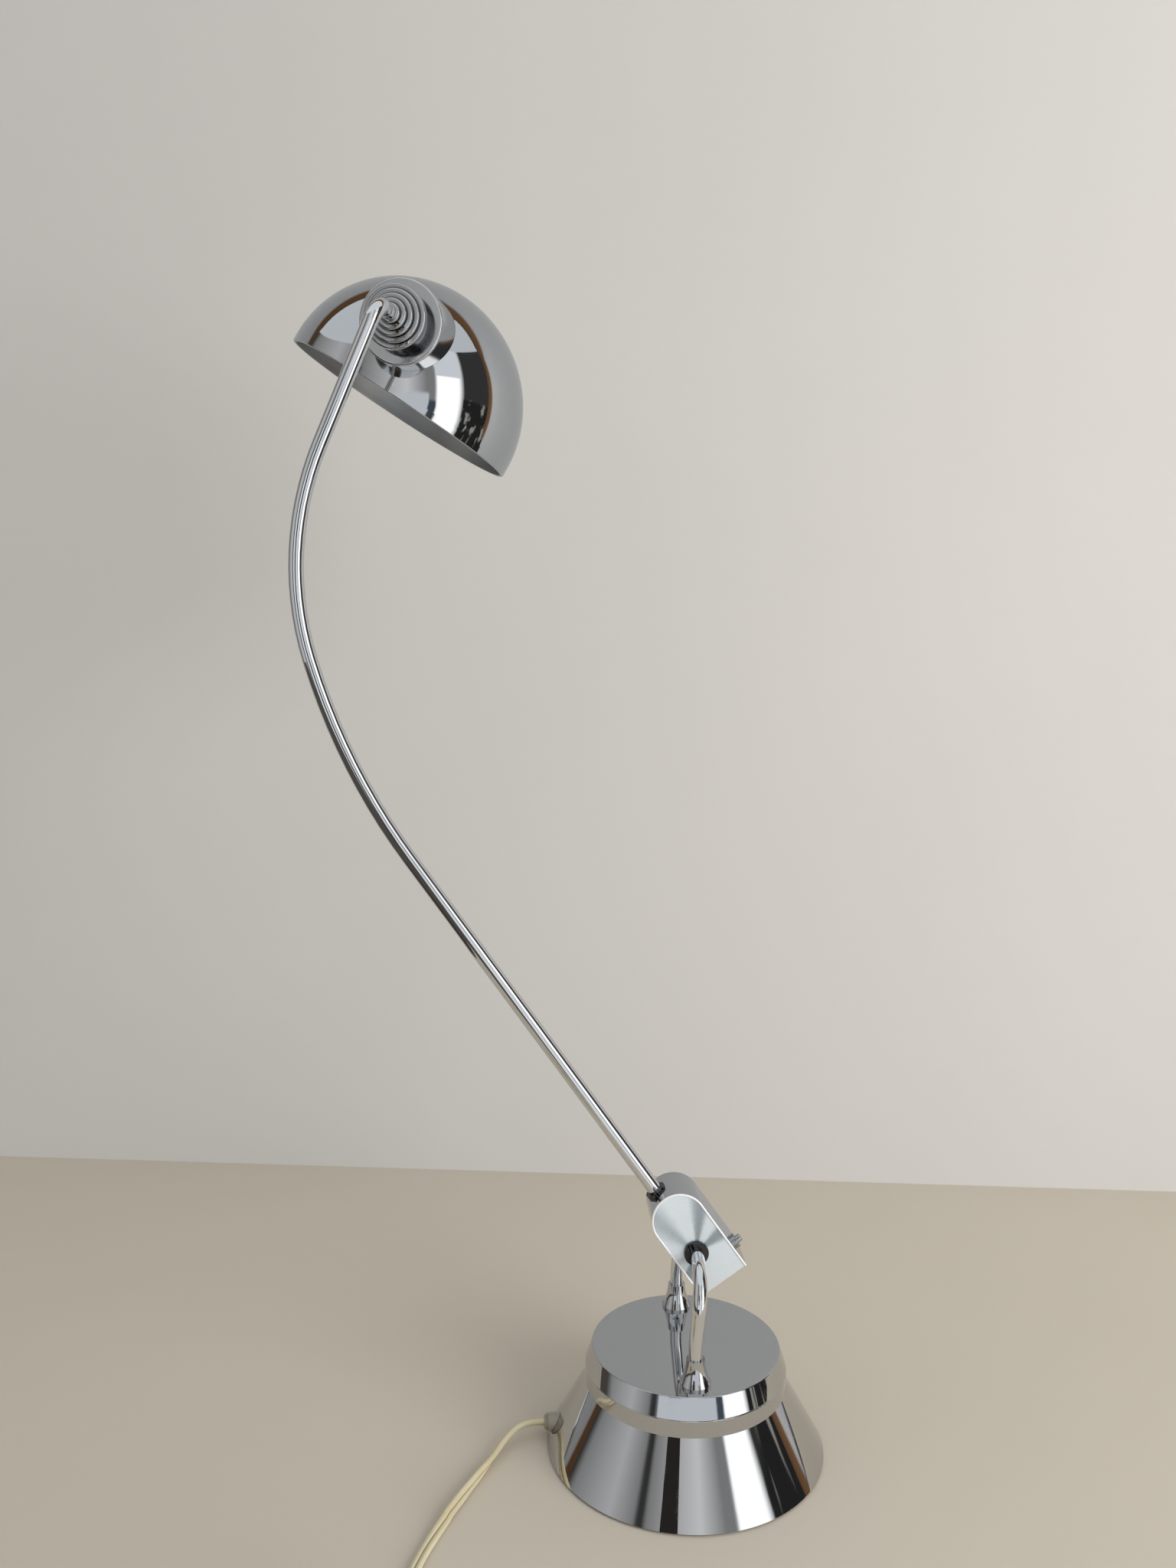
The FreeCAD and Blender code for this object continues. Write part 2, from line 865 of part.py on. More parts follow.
def shade_frame(shape):
    """Puts a shape about the shade's own axis, rim at zero, in its canted place on the swivel."""
    result = shape.copy()
    result.rotate(V(0, 0, 0), V(1, 0, 0), -shade_cant)
    cant = math.radians(shade_cant)
    result.translate(V(0, shade_offset - shade_drop * math.sin(cant), -shade_drop * math.cos(cant)))
    return result


def shade():
    """Half-round chrome shade: short straight skirt, turned-in rim, opening for the cup."""
    inner = shade_radius - shade_wall
    lip = shade_radius - shade_rim_width
    outer_mid = shade_radius * math.sqrt(0.5)
    inner_mid = inner * math.sqrt(0.5)
    dome = turned([
        (shade_radius, 0),
        (shade_radius, shade_skirt),
        ((outer_mid, shade_skirt + outer_mid), (0, shade_skirt + shade_radius)),
        (0, shade_skirt + inner),
        ((inner_mid, shade_skirt + inner_mid), (inner, shade_skirt)),
        (inner, shade_rim_height),
        (lip, shade_rim_height),
        (lip, 0),
    ])
    dome = round_edges(dome, 0.4, circle_at(0, shade_radius))
    hole = across(Part.makeCylinder(cup_radius + running, shade_offset - cup_face, V(0, 0, cup_face)))
    return head_frame(shade_frame(dome).cut(hole))


def holder_cup():
    """Short round turret on the shade's side; its flat face carries the ringed hub."""
    cup = turned_across([
        (nipple_radius + running, cup_face),
        (cup_radius, cup_face),
        (cup_radius, shade_offset),
        (cup_radius - cup_wall, shade_offset),
        (cup_radius - cup_wall, cup_face + cup_wall),
        (nipple_radius + running, cup_face + cup_wall),
    ])
    front = [edge for edge in cup.Edges
             if edge.BoundBox.YMax < cup_face + 0.01 and edge.BoundBox.XMax > cup_radius - 0.01]
    cup = cup.makeFillet(cup_edge_round, front)
    ball = shade_frame(Part.makeSphere(shade_radius - shade_wall, V(0, 0, shade_skirt)))
    return head_frame(cup.cut(ball))


def holder_bracket():
    """Bent strip welded inside the cup that carries the lampholder over the swivel nut."""
    foot_low = cup_face + cup_wall
    leg_inner = bracket_half_width - bracket_thickness
    leg_height = holder_start - foot_low
    top = block(V(2 * bracket_half_width, bracket_thickness, bracket_depth),
                V(0, bracket_plate + bracket_thickness / 2, 0))
    strip = top.cut(washer_across(nipple_radius + 1, 0, bracket_plate - 1, holder_start + 1))
    for side in (-1, 1):
        leg = block(V(bracket_thickness, leg_height, bracket_depth),
                    V(side * (leg_inner + bracket_thickness / 2), foot_low + leg_height / 2, 0))
        foot = block(V(bracket_foot, bracket_thickness, bracket_depth / 2),
                     V(side * (leg_inner + bracket_foot / 2), foot_low + bracket_thickness / 2, 0))
        strip = strip.fuse(leg).fuse(foot)
    return head_frame(strip.removeSplitter())


def lampholder_body():
    """Heat-proof body of the lampholder."""
    mouth = holder_start + holder_length
    body = turned_across([
        (contact_radius, holder_start),
        (holder_radius - 2, holder_start),
        (holder_radius, holder_start + 4),
        (holder_radius, mouth - 1),
        (holder_radius - 1, mouth),
        (holder_bore, mouth),
        (holder_bore, holder_seat),
        (contact_radius, holder_seat),
    ])
    return head_frame(body)


def lampholder_sleeve():
    """Brass sleeve that takes the bulb's cap."""
    outer = holder_bore - running
    return head_frame(washer_across(outer, outer - sleeve_wall, holder_seat + seat, holder_seat + sleeve_length))


def lampholder_contact():
    """Middle contact on the floor of the lampholder."""
    stem = contact_radius - running
    contact = turned_across([
        (0, holder_start),
        (stem, holder_start),
        (stem, holder_seat + seat),
        (contact_radius + 1.2, holder_seat + seat),
        (contact_radius + 1.2, holder_seat + contact_height),
        (0, holder_seat + contact_height),
    ])
    return head_frame(contact)


def bulb_contact():
    """Solder tip of the bulb."""
    return head_frame(washer_across(bulb_tip_radius, 0, bulb_tip, bulb_tip + bulb_tip_height))


def bulb_seal():
    """Dark glass cone between the bulb's tip and its cap."""
    low = bulb_tip + bulb_tip_height
    return head_frame(turned_across([
        (0, low),
        (bulb_tip_radius, low),
        (bulb_seal_radius, low + bulb_seal_height - 1.5),
        (bulb_seal_radius, low + bulb_seal_height),
        (0, low + bulb_seal_height),
    ]))


def bulb_cap():
    """Metal screw cap of the bulb."""
    low = cap_start + 1.2
    high = cap_start + bulb_cap_length
    inner = bulb_seal_radius + running
    return head_frame(turned_across([
        (inner, low),
        (inner + bulb_cap_wall, low),
        (bulb_cap_radius, low + 2.4),
        (bulb_cap_radius, high),
        (bulb_cap_radius - bulb_cap_wall, high),
        (bulb_cap_radius - bulb_cap_wall, low + 2.8),
        (inner, low + 1.0),
    ]))


def glass_outline(inset):
    """Points of the bulb's glass from neck to crown, drawn in by an inset."""
    radius = glass_radius - inset
    neck = glass_neck_radius - inset
    shoulder = glass_shoulder_radius - inset
    drop = math.sqrt(radius ** 2 - shoulder ** 2)
    low = cap_start + bulb_cap_length - glass_neck_length
    high = cap_start + bulb_cap_length + 2
    return [
        (neck, low),
        (neck, high),
        (shoulder, glass_centre - drop),
        ((radius, glass_centre), (0, glass_centre + radius)),
    ]


def bulb_glass():
    """Thin glass of the bulb, closed by the stem at its neck."""
    solid = turned_across(glass_outline(0) + [(0, glass_outline(0)[0][1])])
    hollow = turned_across(glass_outline(glass_wall) + [(0, glass_outline(0)[0][1])])
    return head_frame(solid.cut(hollow))


def bulb_stem():
    """Glass stem that seals the neck and carries the filament's wires."""
    low = glass_outline(0)[0][1]
    neck = glass_neck_radius - glass_wall - running
    return head_frame(turned_across([
        (0, low),
        (neck, low),
        (neck, low + 2),
        (stem_radius, low + 8),
        (stem_radius, low + stem_length),
        (0, low + stem_length),
    ]))


def bulb_filament():
    """Filament across the top of two support wires."""
    foot = glass_outline(0)[0][1] + stem_length
    high = foot + filament_rise
    wires = []
    for side in (-1, 1):
        start = V(side * stem_radius * 0.6, foot, 0)
        end = V(side * filament_half, high, 0)
        wires.append(Part.makeCylinder(filament_radius, start.distanceToPoint(end), start, end - start))
    bar = Part.makeCylinder(filament_radius, 2 * filament_half, V(-filament_half, high, 0), V(1, 0, 0))
    wires_and_bar = bar.fuse(wires[0]).fuse(wires[1])
    below = washer_across(stem_radius, 0, foot - 2, foot)
    return head_frame(wires_and_bar.cut(below))


# Cord, coil and plug

def cord_relief():
    """Tapered strain relief through the skirt, with a flange inside the wall."""
    neck = relief_neck_radius
    wall_middle = math.sqrt(skirt_radius(relief_z) ** 2 - relief_y ** 2)
    outer = turned([
        (0, wall_middle - 5),
        (relief_radius, wall_middle - 5),
        (relief_radius, wall_middle + 3),
        (relief_tip_radius, relief_outer_end),
        (0, relief_outer_end),
    ])
    flange_high = wall_middle - wall_across - 3.2
    inner = turned([
        (0, relief_start),
        (relief_flange_radius, relief_start),
        (relief_flange_radius, flange_high),
        (0, flange_high),
    ])
    stem = Part.makeCylinder(neck, wall_middle - relief_start, V(0, 0, relief_start))
    skirt = turned([
        (0, rim_lift - 5),
        (skirt_radius(rim_lift - 5) + face_gap, rim_lift - 5),
        (skirt_radius(2 * relief_z + 5) + face_gap, 2 * relief_z + 5),
        (0, 2 * relief_z + 5),
    ])
    stem = aim_relief(stem.fuse(inner))
    return aim_relief(outer).cut(skirt).fuse(stem).removeSplitter()


def aim_relief(shape):
    """Turns a piece built about Z to point along -X at the cord's outlet."""
    result = shape.copy()
    result.rotate(V(0, 0, 0), V(0, 1, 0), -90)
    result.translate(V(0, relief_y, relief_z))
    return result


def lead_points():
    """Route of the free cord from the strain relief to the coil."""
    on_floor = floor_height - relief_z
    in_coil = coil_height - relief_z
    return [
        outlet,
        outlet + V(-9.0, 0.0, 0.0),
        outlet + V(-16.0, -3.4, -1.1),
        outlet + V(-21.8, -9.6, -2.8),
        outlet + V(-27.0, -19.0, -4.2),
        outlet + V(-32.0, -30.0, on_floor),
        outlet + V(-43.0, -51.6, on_floor),
        outlet + V(-55.5, -77.5, on_floor),
        outlet + V(-64.6, -102.9, on_floor),
        outlet + V(-69.0, -126.0, on_floor + 0.3),
        outlet + V(-coil_distance, -147.5, in_coil),
        coil_start + V(0.0, cord_diameter, 0.0),
    ]


def cord_radii(points):
    """Bend radius at each inner point of a free cord."""
    radii = []
    for index in range(1, len(points) - 1):
        back = points[index - 1] - points[index]
        ahead = points[index + 1] - points[index]
        half_turn = (math.pi - back.getAngle(ahead)) / 2
        radii.append(0.45 * min(back.Length, ahead.Length) / math.tan(half_turn))
    return radii


def cord_piece(name, points):
    """A free stretch of cord, with its bend radii and volume printed."""
    radii = cord_radii(points)
    edges = path_edges(points, radii)
    solid = swept(edges, cord_radius)
    length = sum(edge.Length for edge in edges)
    print(name, "length", round(length, 1), "radii", [round(r, 1) for r in radii])
    print(name, "volume / (section x length)", round(solid.Volume / (math.pi * cord_radius ** 2 * length), 4))
    return solid


def tangent_arc(start, direction, end):
    """The arc that leaves a point in a direction and reaches another point."""
    chord = end - start
    along = chord.normalize()
    length = start.distanceToPoint(end)
    lean = direction - along * direction.dot(along)
    angle = direction.getAngle(along)
    middle = (start + end) * 0.5 + lean.normalize() * (length / 2 * math.tan(angle / 2))
    return arc(start, middle, end)


def coil_route():
    """Edges of the coil: in on the lower layer, up in one half turn, out on the upper layer."""
    step = coil_pitch / 2
    low = coil_height
    high = low + coil_layers_gap
    here = V(coil_start.x, coil_start.y, low)
    edges = [line(here + V(0, cord_diameter, 0), here)]
    corners = [here]
    inward = [coil_radius - step * index for index in range(coil_inward)]
    tight = coil_radius - step * coil_inward
    outward = [tight + step * (index + 1) for index in range(coil_outward)]
    side = -1
    for radius in inward + [tight] + outward:
        centre = here + V(side * radius, 0, 0)
        there = centre + V(side * radius, 0, 0)
        if radius == tight:
            rise = coil_layers_gap
            reach = radius * math.sqrt(1 + (rise / (2 * radius)) ** 2)
            crest = centre + V(0, side * reach, rise / 2)
            there = V(there.x, there.y, high)
            first = tangent_arc(here, V(0, side, 0), crest)
            edges.append(first)
            edges.append(tangent_arc(crest, first.tangentAt(first.LastParameter), there))
        else:
            edges.append(arc(here, centre + V(0, side * radius, 0), there))
        here = there
        corners.append(here)
        side = -side
    last = outward[-1] + step
    centre = here - V(last, 0, 0)
    diagonal = V(math.sqrt(0.5), -math.sqrt(0.5), 0)
    end = centre - V(0, last, 0)
    edges.append(arc(here, centre + diagonal * last, end))
    edges.append(line(end, end - V(cord_diameter, 0, 0)))
    return edges, corners, end - V(cord_diameter, 0, 0)


def coil_self_gap(edges):
    """Least gap between turns that aren't neighbours along the cord, from points on its line."""
    points = []
    travelled = 0.0
    for edge in edges:
        count = max(2, int(edge.Length / 4))
        for index in range(count):
            at = edge.FirstParameter + (edge.LastParameter - edge.FirstParameter) * index / count
            points.append((travelled + edge.Length * index / count, edge.valueAt(at)))
        travelled += edge.Length
    least = 1e9
    for index, (place, point) in enumerate(points):
        for other_place, other in points[index + 1:]:
            if other_place - place > 12 * cord_diameter:
                least = min(least, point.distanceToPoint(other))
    return least - cord_diameter


def cord_coil():
    """The put-away length as a neat coil of two layers."""
    edges, corners, end = coil_route()
    solid = swept(edges, cord_radius)
    length = sum(edge.Length for edge in edges)
    print("cord_coil length", round(length, 1), "least self gap", round(coil_self_gap(edges), 2))
    print("cord_coil volume ratio", round(solid.Volume / (math.pi * cord_radius ** 2 * length), 4))
    return solid


def tail_points():
    """Route of the last free stretch, from the coil down to the plug."""
    end = coil_route()[2]
    plug_height = plug_thickness / 2
    return [
        end,
        end + V(-15.0, 0.0, 0.0),
        V(end.x - 31.0, end.y + 1.2, end.z - 1.9),
        V(end.x - 46.0, end.y + 0.4, plug_height),
        V(end.x - 60.0, end.y + 0.4, plug_height),
    ]


def coil_tie():
    """Strap round the turns on the coil's far side."""
    corners = coil_route()[1]
    left = [corner.x for corner in corners[1::2]]
    gap = cord_radius + tie_gap
    inner_low = V(min(left) - gap, coil_start.y - tie_width / 2, coil_height - gap)
    inner_high = V(max(left) + gap, coil_start.y + tie_width / 2, coil_height + coil_layers_gap + gap)
    inner_size = inner_high - inner_low
    grow = V(tie_thickness, 0, tie_thickness)
    outer_size = inner_size + grow * 2
    outer = Part.makeBox(outer_size.x, outer_size.y, outer_size.z, inner_low - grow)
    inner = Part.makeBox(inner_size.x, inner_size.y + 2, inner_size.z, inner_low - V(0, 1, 0))
    edges = [edge for edge in outer.Edges if edge.BoundBox.YLength > tie_width - 0.01]
    return outer.makeFillet(1.0, edges).cut(inner)


def plug_body():
    """Flat plug body lying on the table."""
    tip = tail_points()[-1]
    neck = plug_neck_width / 2
    half = plug_width / 2
    shoulder = plug_length - plug_face_depth
    points = [
        (0, -neck),
        (0, neck),
        (shoulder, half),
        (plug_length, half - 2),
        (plug_length, -half + 2),
        (shoulder, -half),
    ]
    face = outline(points, lambda x, y: V(tip.x - x, tip.y + y, 0))
    body = face.extrude(V(0, 0, plug_thickness))
    upright = [edge for edge in body.Edges if edge.BoundBox.ZLength > plug_thickness - 0.01]
    body = body.makeFillet(1.5, upright)
    return body.cut(plug_pin_shapes(running))


def plug_pin_shapes(extra):
    """Two round pins, sunk a little into the plug's face."""
    tip = tail_points()[-1]
    shapes = []
    for side in (-1, 1):
        start = V(tip.x - plug_length + 8.0 + extra, tip.y + side * pin_spacing / 2, plug_thickness / 2)
        shapes.append(Part.makeCylinder(pin_radius + extra, pin_length + 8.0 + extra, start, V(-1, 0, 0)))
    return Part.makeCompound(shapes)


def plug_pins():
    """The plug's two pins with rounded ends."""
    pins = []
    for pin in plug_pin_shapes(0).Solids:
        ends = [edge for edge in pin.Edges if edge.BoundBox.XMax < pin.BoundBox.XMin + 0.01]
        pins.append(pin.makeFillet(0.9, ends))
    return Part.makeCompound(pins)


def pieces():
    """Every node of the lamp with its shape."""
    return {
        "base_pad": base_pad(),
        "base_plate": base_plate(),
        "plate_screws": plate_screw_shapes(0),
        "base_cover": base_cover(),
        "base_cap": base_cap(),
        "ballast": ballast(),
        "centre_bolt": centre_bolt(),
        "terminal_block": terminal_block(),
        "terminal_screws": terminal_screw_shapes(0),
        "inner_cord": inner_cord(),
        "post_front": fork_post(-1),
        "post_rear": fork_post(1),
        "post_ferrules": post_ferrules(),
        "post_washers": post_washers(),
        "post_nuts": post_nuts(),
        "pivot_clips": pivot_clips(),
        "pivot_washers": pivot_washers(),
        "hinge_strip": hinge_strip(),
        "hinge_plate_front": hinge_plate(-1),
        "hinge_plate_rear": hinge_plate(1),
        "hinge_end_plate": hinge_end_plate(),
        "pivot_bush_front": pivot_bush(-1),
        "pivot_bush_rear": pivot_bush(1),
        "arm_socket": arm_socket(),
        "arm_ring": arm_ring(),
        "switch_body": switch_body(),
        "switch_collar": switch_collar(),
        "switch_button": switch_button(),
        "arm_tube": arm_tube(),
        "arm_lead": arm_lead(),
        "arm_nut": arm_nut(),
        "arm_washer": arm_washer(),
        "arm_collar": arm_collar(),
        "swivel_nipple": swivel_nipple(),
        "swivel_washer": swivel_washer(),
        "swivel_nut": swivel_nut(),
        "swivel_hub": swivel_hub(),
        "friction_washer": friction_washer(),
        "shade": shade(),
        "holder_cup": holder_cup(),
        "holder_bracket": holder_bracket(),
        "lampholder_body": lampholder_body(),
        "lampholder_sleeve": lampholder_sleeve(),
        "lampholder_contact": lampholder_contact(),
        "bulb_contact": bulb_contact(),
        "bulb_seal": bulb_seal(),
        "bulb_cap": bulb_cap(),
        "bulb_glass": bulb_glass(),
        "bulb_stem": bulb_stem(),
        "bulb_filament": bulb_filament(),
        "cord_relief": cord_relief(),
        "cord_lead": cord_piece("cord_lead", lead_points()),
        "cord_coil": cord_coil(),
        "cord_tail": cord_piece("cord_tail", tail_points()),
        "coil_tie": coil_tie(),
        "plug_body": plug_body(),
        "plug_pins": plug_pins(),
    }


def main():
    """Writes one STEP file for each node."""
    os.makedirs("parts", exist_ok=True)
    total = 0
    for name, shape in pieces().items():
        shape.exportStep("parts/" + name + ".step")
        total += len(shape.Solids)
        print(name, "solids", len(shape.Solids), "volume", round(shape.Volume, 1), "valid", shape.isValid())
    print("solids in all", total)


main()
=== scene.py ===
"""Chrome desk lamp with a bent swinging arm: its looks, cord, plug, bulb details and studio."""

import json
import logging
import math
from dataclasses import dataclass
from enum import Enum
from typing import Callable, Iterable, Optional, Sequence, Union

import bmesh
import bpy
from mathutils import Matrix, Vector

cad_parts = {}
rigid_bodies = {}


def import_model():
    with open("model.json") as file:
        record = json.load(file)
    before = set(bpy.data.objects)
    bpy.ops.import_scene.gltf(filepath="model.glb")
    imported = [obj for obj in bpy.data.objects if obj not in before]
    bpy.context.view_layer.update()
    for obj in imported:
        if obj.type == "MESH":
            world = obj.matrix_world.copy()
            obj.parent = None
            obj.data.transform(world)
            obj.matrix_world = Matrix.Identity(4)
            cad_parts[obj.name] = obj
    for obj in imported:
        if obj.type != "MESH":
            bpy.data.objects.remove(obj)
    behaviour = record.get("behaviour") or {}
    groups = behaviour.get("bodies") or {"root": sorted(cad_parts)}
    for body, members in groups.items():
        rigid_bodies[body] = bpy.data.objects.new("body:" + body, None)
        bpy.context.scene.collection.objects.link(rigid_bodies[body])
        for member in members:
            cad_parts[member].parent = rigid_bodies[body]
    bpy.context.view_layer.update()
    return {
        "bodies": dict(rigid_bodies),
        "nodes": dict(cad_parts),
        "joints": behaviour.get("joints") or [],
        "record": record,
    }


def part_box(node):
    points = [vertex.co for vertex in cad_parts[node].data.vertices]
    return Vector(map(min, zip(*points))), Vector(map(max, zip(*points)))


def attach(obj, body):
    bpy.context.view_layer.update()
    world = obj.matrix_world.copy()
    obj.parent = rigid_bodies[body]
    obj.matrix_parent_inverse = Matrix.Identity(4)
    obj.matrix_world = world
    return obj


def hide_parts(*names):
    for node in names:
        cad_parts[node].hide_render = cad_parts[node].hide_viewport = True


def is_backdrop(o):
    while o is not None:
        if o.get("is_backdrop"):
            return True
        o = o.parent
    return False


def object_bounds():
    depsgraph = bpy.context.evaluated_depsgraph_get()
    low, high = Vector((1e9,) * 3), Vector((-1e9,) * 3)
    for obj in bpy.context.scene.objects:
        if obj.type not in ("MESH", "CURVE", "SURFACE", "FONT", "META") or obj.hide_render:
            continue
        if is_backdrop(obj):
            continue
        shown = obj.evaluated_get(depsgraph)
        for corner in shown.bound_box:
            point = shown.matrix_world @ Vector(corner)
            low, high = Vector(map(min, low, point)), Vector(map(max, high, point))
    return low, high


log = logging.getLogger("lamp")
MM = 0.001
Point = tuple[float, float, float]
Item = bpy.types.Object
Material = bpy.types.Material
Node = bpy.types.Node
Socket = bpy.types.NodeSocket
Tree = bpy.types.NodeTree
Value = Union[float, int, bool, Sequence[float], Socket]
Sockets = dict[str, tuple[str, object]]


# Sizes and frames


@dataclass(frozen=True)
class LampSizes:
    """Driving sizes shared with the CAD, in millimetres and degrees."""

    pivot: Point = (3.5, 0.0, 118.0)
    arm_lean: float = 35.7
    arm_turn: float = 9.6
    arm_corner: Point = (159.4, 0.0, 505.0)
    head_tilt: float = 67.3
    shade_cant: float = 5.0
    nose_radius: float = 5.2
    ring_step: float = 2.9
    shade_offset: float = 136.0
    shade_drop: float = 41.7
    shade_skirt: float = 4.1
    shade_radius: float = 73.4
    cord_width: float = 6.0
    cord_thickness: float = 3.2
    relief_y: float = 8.0
    relief_z: float = 8.0
    coil_radius: float = 46.5
    coil_pitch: float = 6.5
    coil_layer: float = 6.5
    coil_height: float = 4.2
    plug_thickness: float = 14.0
    bulb_cap_start: float = 69.4
    bulb_cap_length: float = 25.0
    bulb_cap_radius: float = 13.2
    filament_foot: float = 118.4
    filament_half: float = 11.0
    filament_rise: float = 8.0


SIZES = LampSizes()


def shift(x: float, y: float, z: float) -> Matrix:
    """Translation by millimetres, for frames in millimetres."""
    return Matrix.Translation(Vector((x, y, z)))


def turn(angle: float, axis: str) -> Matrix:
    """Rotation by degrees about a main axis."""
    return Matrix.Rotation(math.radians(angle), 4, axis)


def hinge_frame() -> Matrix:
    """Frame of the hinge case: its middle line up, the fork's axis along Y."""
    return shift(*SIZES.pivot) @ turn(-SIZES.arm_lean, "Y")


def arm_frame() -> Matrix:
    """Frame of the arm, turned in the case."""
    return hinge_frame() @ turn(-SIZES.arm_turn, "Z")


def head_frame() -> Matrix:
    """Frame of the head: the swivel axis along Y, the shade's rim below."""
    return arm_frame() @ shift(*SIZES.arm_corner) @ turn(SIZES.head_tilt, "Y")


def shade_frame() -> Matrix:
    """Frame of the shade: its own axis along Z, the rim at zero."""
    cant = math.radians(SIZES.shade_cant)
    drop = shift(0, SIZES.shade_offset - SIZES.shade_drop * math.sin(cant), -SIZES.shade_drop * math.cos(cant))
    return head_frame() @ drop @ turn(-SIZES.shade_cant, "X")


def in_metres(frame: Matrix) -> Matrix:
    """The same frame for meshes built in millimetres, scaled to metres."""
    return Matrix.Scale(MM, 4) @ frame


# Node trees

BUMP_DEPTH = 0.0001


def rgba(colour: Point) -> tuple[float, float, float, float]:
    """The colour with full cover."""
    return (*colour, 1.0)


def bare_material(name: str) -> tuple[Material, "Graph"]:
    """A new material without nodes, and its graph."""
    material = bpy.data.materials.new(name)
    material.use_nodes = True
    material.node_tree.nodes.clear()
    return material, Graph(material.node_tree)


class Graph:
    """Adds nodes to one tree and wires them by socket name."""

    def __init__(self, tree: Tree) -> None:
        """Args:
            tree: the node tree that takes the nodes.
        """
        self.tree = tree
        self.column = 0

    def node(
        self, kind: str, inputs: Optional[dict[Union[str, int], Value]] = None, **settings: object
    ) -> Node:
        """Makes one node.

        Args:
            kind: the node's type name.
            inputs: sockets to link or constants to set, by input name or number.
            settings: properties of the node itself.

        Returns:
            The new node.
        """
        made = self.tree.nodes.new(kind)
        made.location = (self.column * 190, -(self.column % 5) * 130)
        self.column += 1
        for name, value in settings.items():
            setattr(made, name, value)
        for key, value in (inputs or {}).items():
            self.feed(made.inputs[key], value)
        return made

    def feed(self, socket: Socket, value: Value) -> None:
        """Links a socket to another one, or sets its constant.

        Args:
            socket: the input.
            value: an output socket or a constant.
        """
        if isinstance(value, Socket):
            self.tree.links.new(value, socket)
        else:
            socket.default_value = value

    def math(self, operation: str, *values: Value, clamp: bool = False) -> Socket:
        """One step of arithmetic.

        Args:
            operation: the math node's operation.
            values: its inputs in order.
            clamp: whether the result is kept from 0 to 1.

        Returns:
            The result's socket.
        """
        made = self.node("ShaderNodeMath", dict(enumerate(values)), operation=operation, use_clamp=clamp)
        return made.outputs[0]

    def times(self, first: Value, second: Value, clamp: bool = False) -> Socket:
        """Product of two values."""
        return self.math("MULTIPLY", first, second, clamp=clamp)

    def plus(self, first: Value, second: Value, clamp: bool = False) -> Socket:
        """Sum of two values."""
        return self.math("ADD", first, second, clamp=clamp)

    def minus(self, first: Value, second: Value) -> Socket:
        """Difference of two values."""
        return self.math("SUBTRACT", first, second)

    def length(self, vector: Value) -> Socket:
        """Length of a vector."""
        return self.node("ShaderNodeVectorMath", {0: vector}, operation="LENGTH").outputs["Value"]

    def split(self, vector: Value) -> tuple[Socket, Socket, Socket]:
        """The three parts of a vector."""
        parts = self.node("ShaderNodeSeparateXYZ", {"Vector": vector}).outputs
        return parts[0], parts[1], parts[2]

    def place(self) -> Socket:
        """Place on the object, in metres."""
        return self.node("ShaderNodeTexCoord").outputs["Object"]

    def group(self, tree: Tree, **inputs: Value) -> Node:
        """Adds a shared group, its inputs given by name."""
        made = self.node("ShaderNodeGroup", node_tree=tree)
        for label, value in inputs.items():
            self.feed(made.inputs[label], value)
        return made

    def bump(self, surface: Node, strength: float, height: Value) -> None:
        """Gives a surface relief a tenth of a millimetre deep."""
        inputs = {"Strength": strength, "Distance": BUMP_DEPTH, "Height": height}
        self.feed(surface.inputs["Normal"], self.node("ShaderNodeBump", inputs).outputs[0])

    def vector(self, operation: str, *values: Value) -> Socket:
        """One step of vector arithmetic, with its vector result."""
        return self.node("ShaderNodeVectorMath", dict(enumerate(values)), operation=operation).outputs[0]

    def remap(self, value: Value, low: float, high: float, to_low: float = 0.0, to_high: float = 1.0) -> Socket:
        """Stretches a range to another one, smoothly and clamped.

        Args:
            value: what is stretched.
            low: start of the range.
            high: end of the range.
            to_low: result at the start.
            to_high: result at the end.

        Returns:
            The result's socket.
        """
        inputs = {"Value": value, "From Min": low, "From Max": high, "To Min": to_low, "To Max": to_high}
        return self.node("ShaderNodeMapRange", inputs, interpolation_type="SMOOTHSTEP").outputs[0]

    def noise(self, vector: Value, scale: float, detail: float = 3.0, roughness: float = 0.5) -> Socket:
        """Noise over a vector, as a value."""
        inputs = {"Vector": vector, "Scale": scale, "Detail": detail, "Roughness": roughness}
        return self.node("ShaderNodeTexNoise", inputs).outputs["Fac"]

    def mix(self, factor: Value, first: Value, second: Value, blend: str = "MIX") -> Socket:
        """Mixes two colours.

        Args:
            factor: share of the second one.
            first: colour at 0.
            second: colour at 1.
            blend: how they are mixed.

        Returns:
            The mixed colour's socket.
        """
        made = self.node("ShaderNodeMix", data_type="RGBA", blend_type=blend)
        self.feed(made.inputs[0], factor)
        self.feed(made.inputs[6], first)
        self.feed(made.inputs[7], second)
        return made.outputs[2]


def add_inputs(tree: Tree, inputs: Sockets) -> None:
    """Adds named inputs to a group.

    Args:
        tree: the group.
        inputs: socket kind and default value of each input.
    """
    for label, (kind, default) in inputs.items():
        socket = tree.interface.new_socket(name=label, in_out="INPUT", socket_type=kind)
        if default is not None:
            socket.default_value = default


def effect_group(name: str, inputs: Sockets, outputs: Sequence[str]) -> tuple[Tree, Graph, Node, Node]:
    """Starts a shader node group with named inputs and float outputs.

    Args:
        name: the group's name.
        inputs: socket kind and default value of each input.
        outputs: names of the outputs.

    Returns:
        The group, its graph, and its input and output nodes.
    """
    tree = bpy.data.node_groups.new(name, "ShaderNodeTree")
    add_inputs(tree, inputs)
    for label in outputs:
        tree.interface.new_socket(name=label, in_out="OUTPUT", socket_type="NodeSocketFloat")
    graph = Graph(tree)
    return tree, graph, graph.node("NodeGroupInput"), graph.node("NodeGroupOutput")


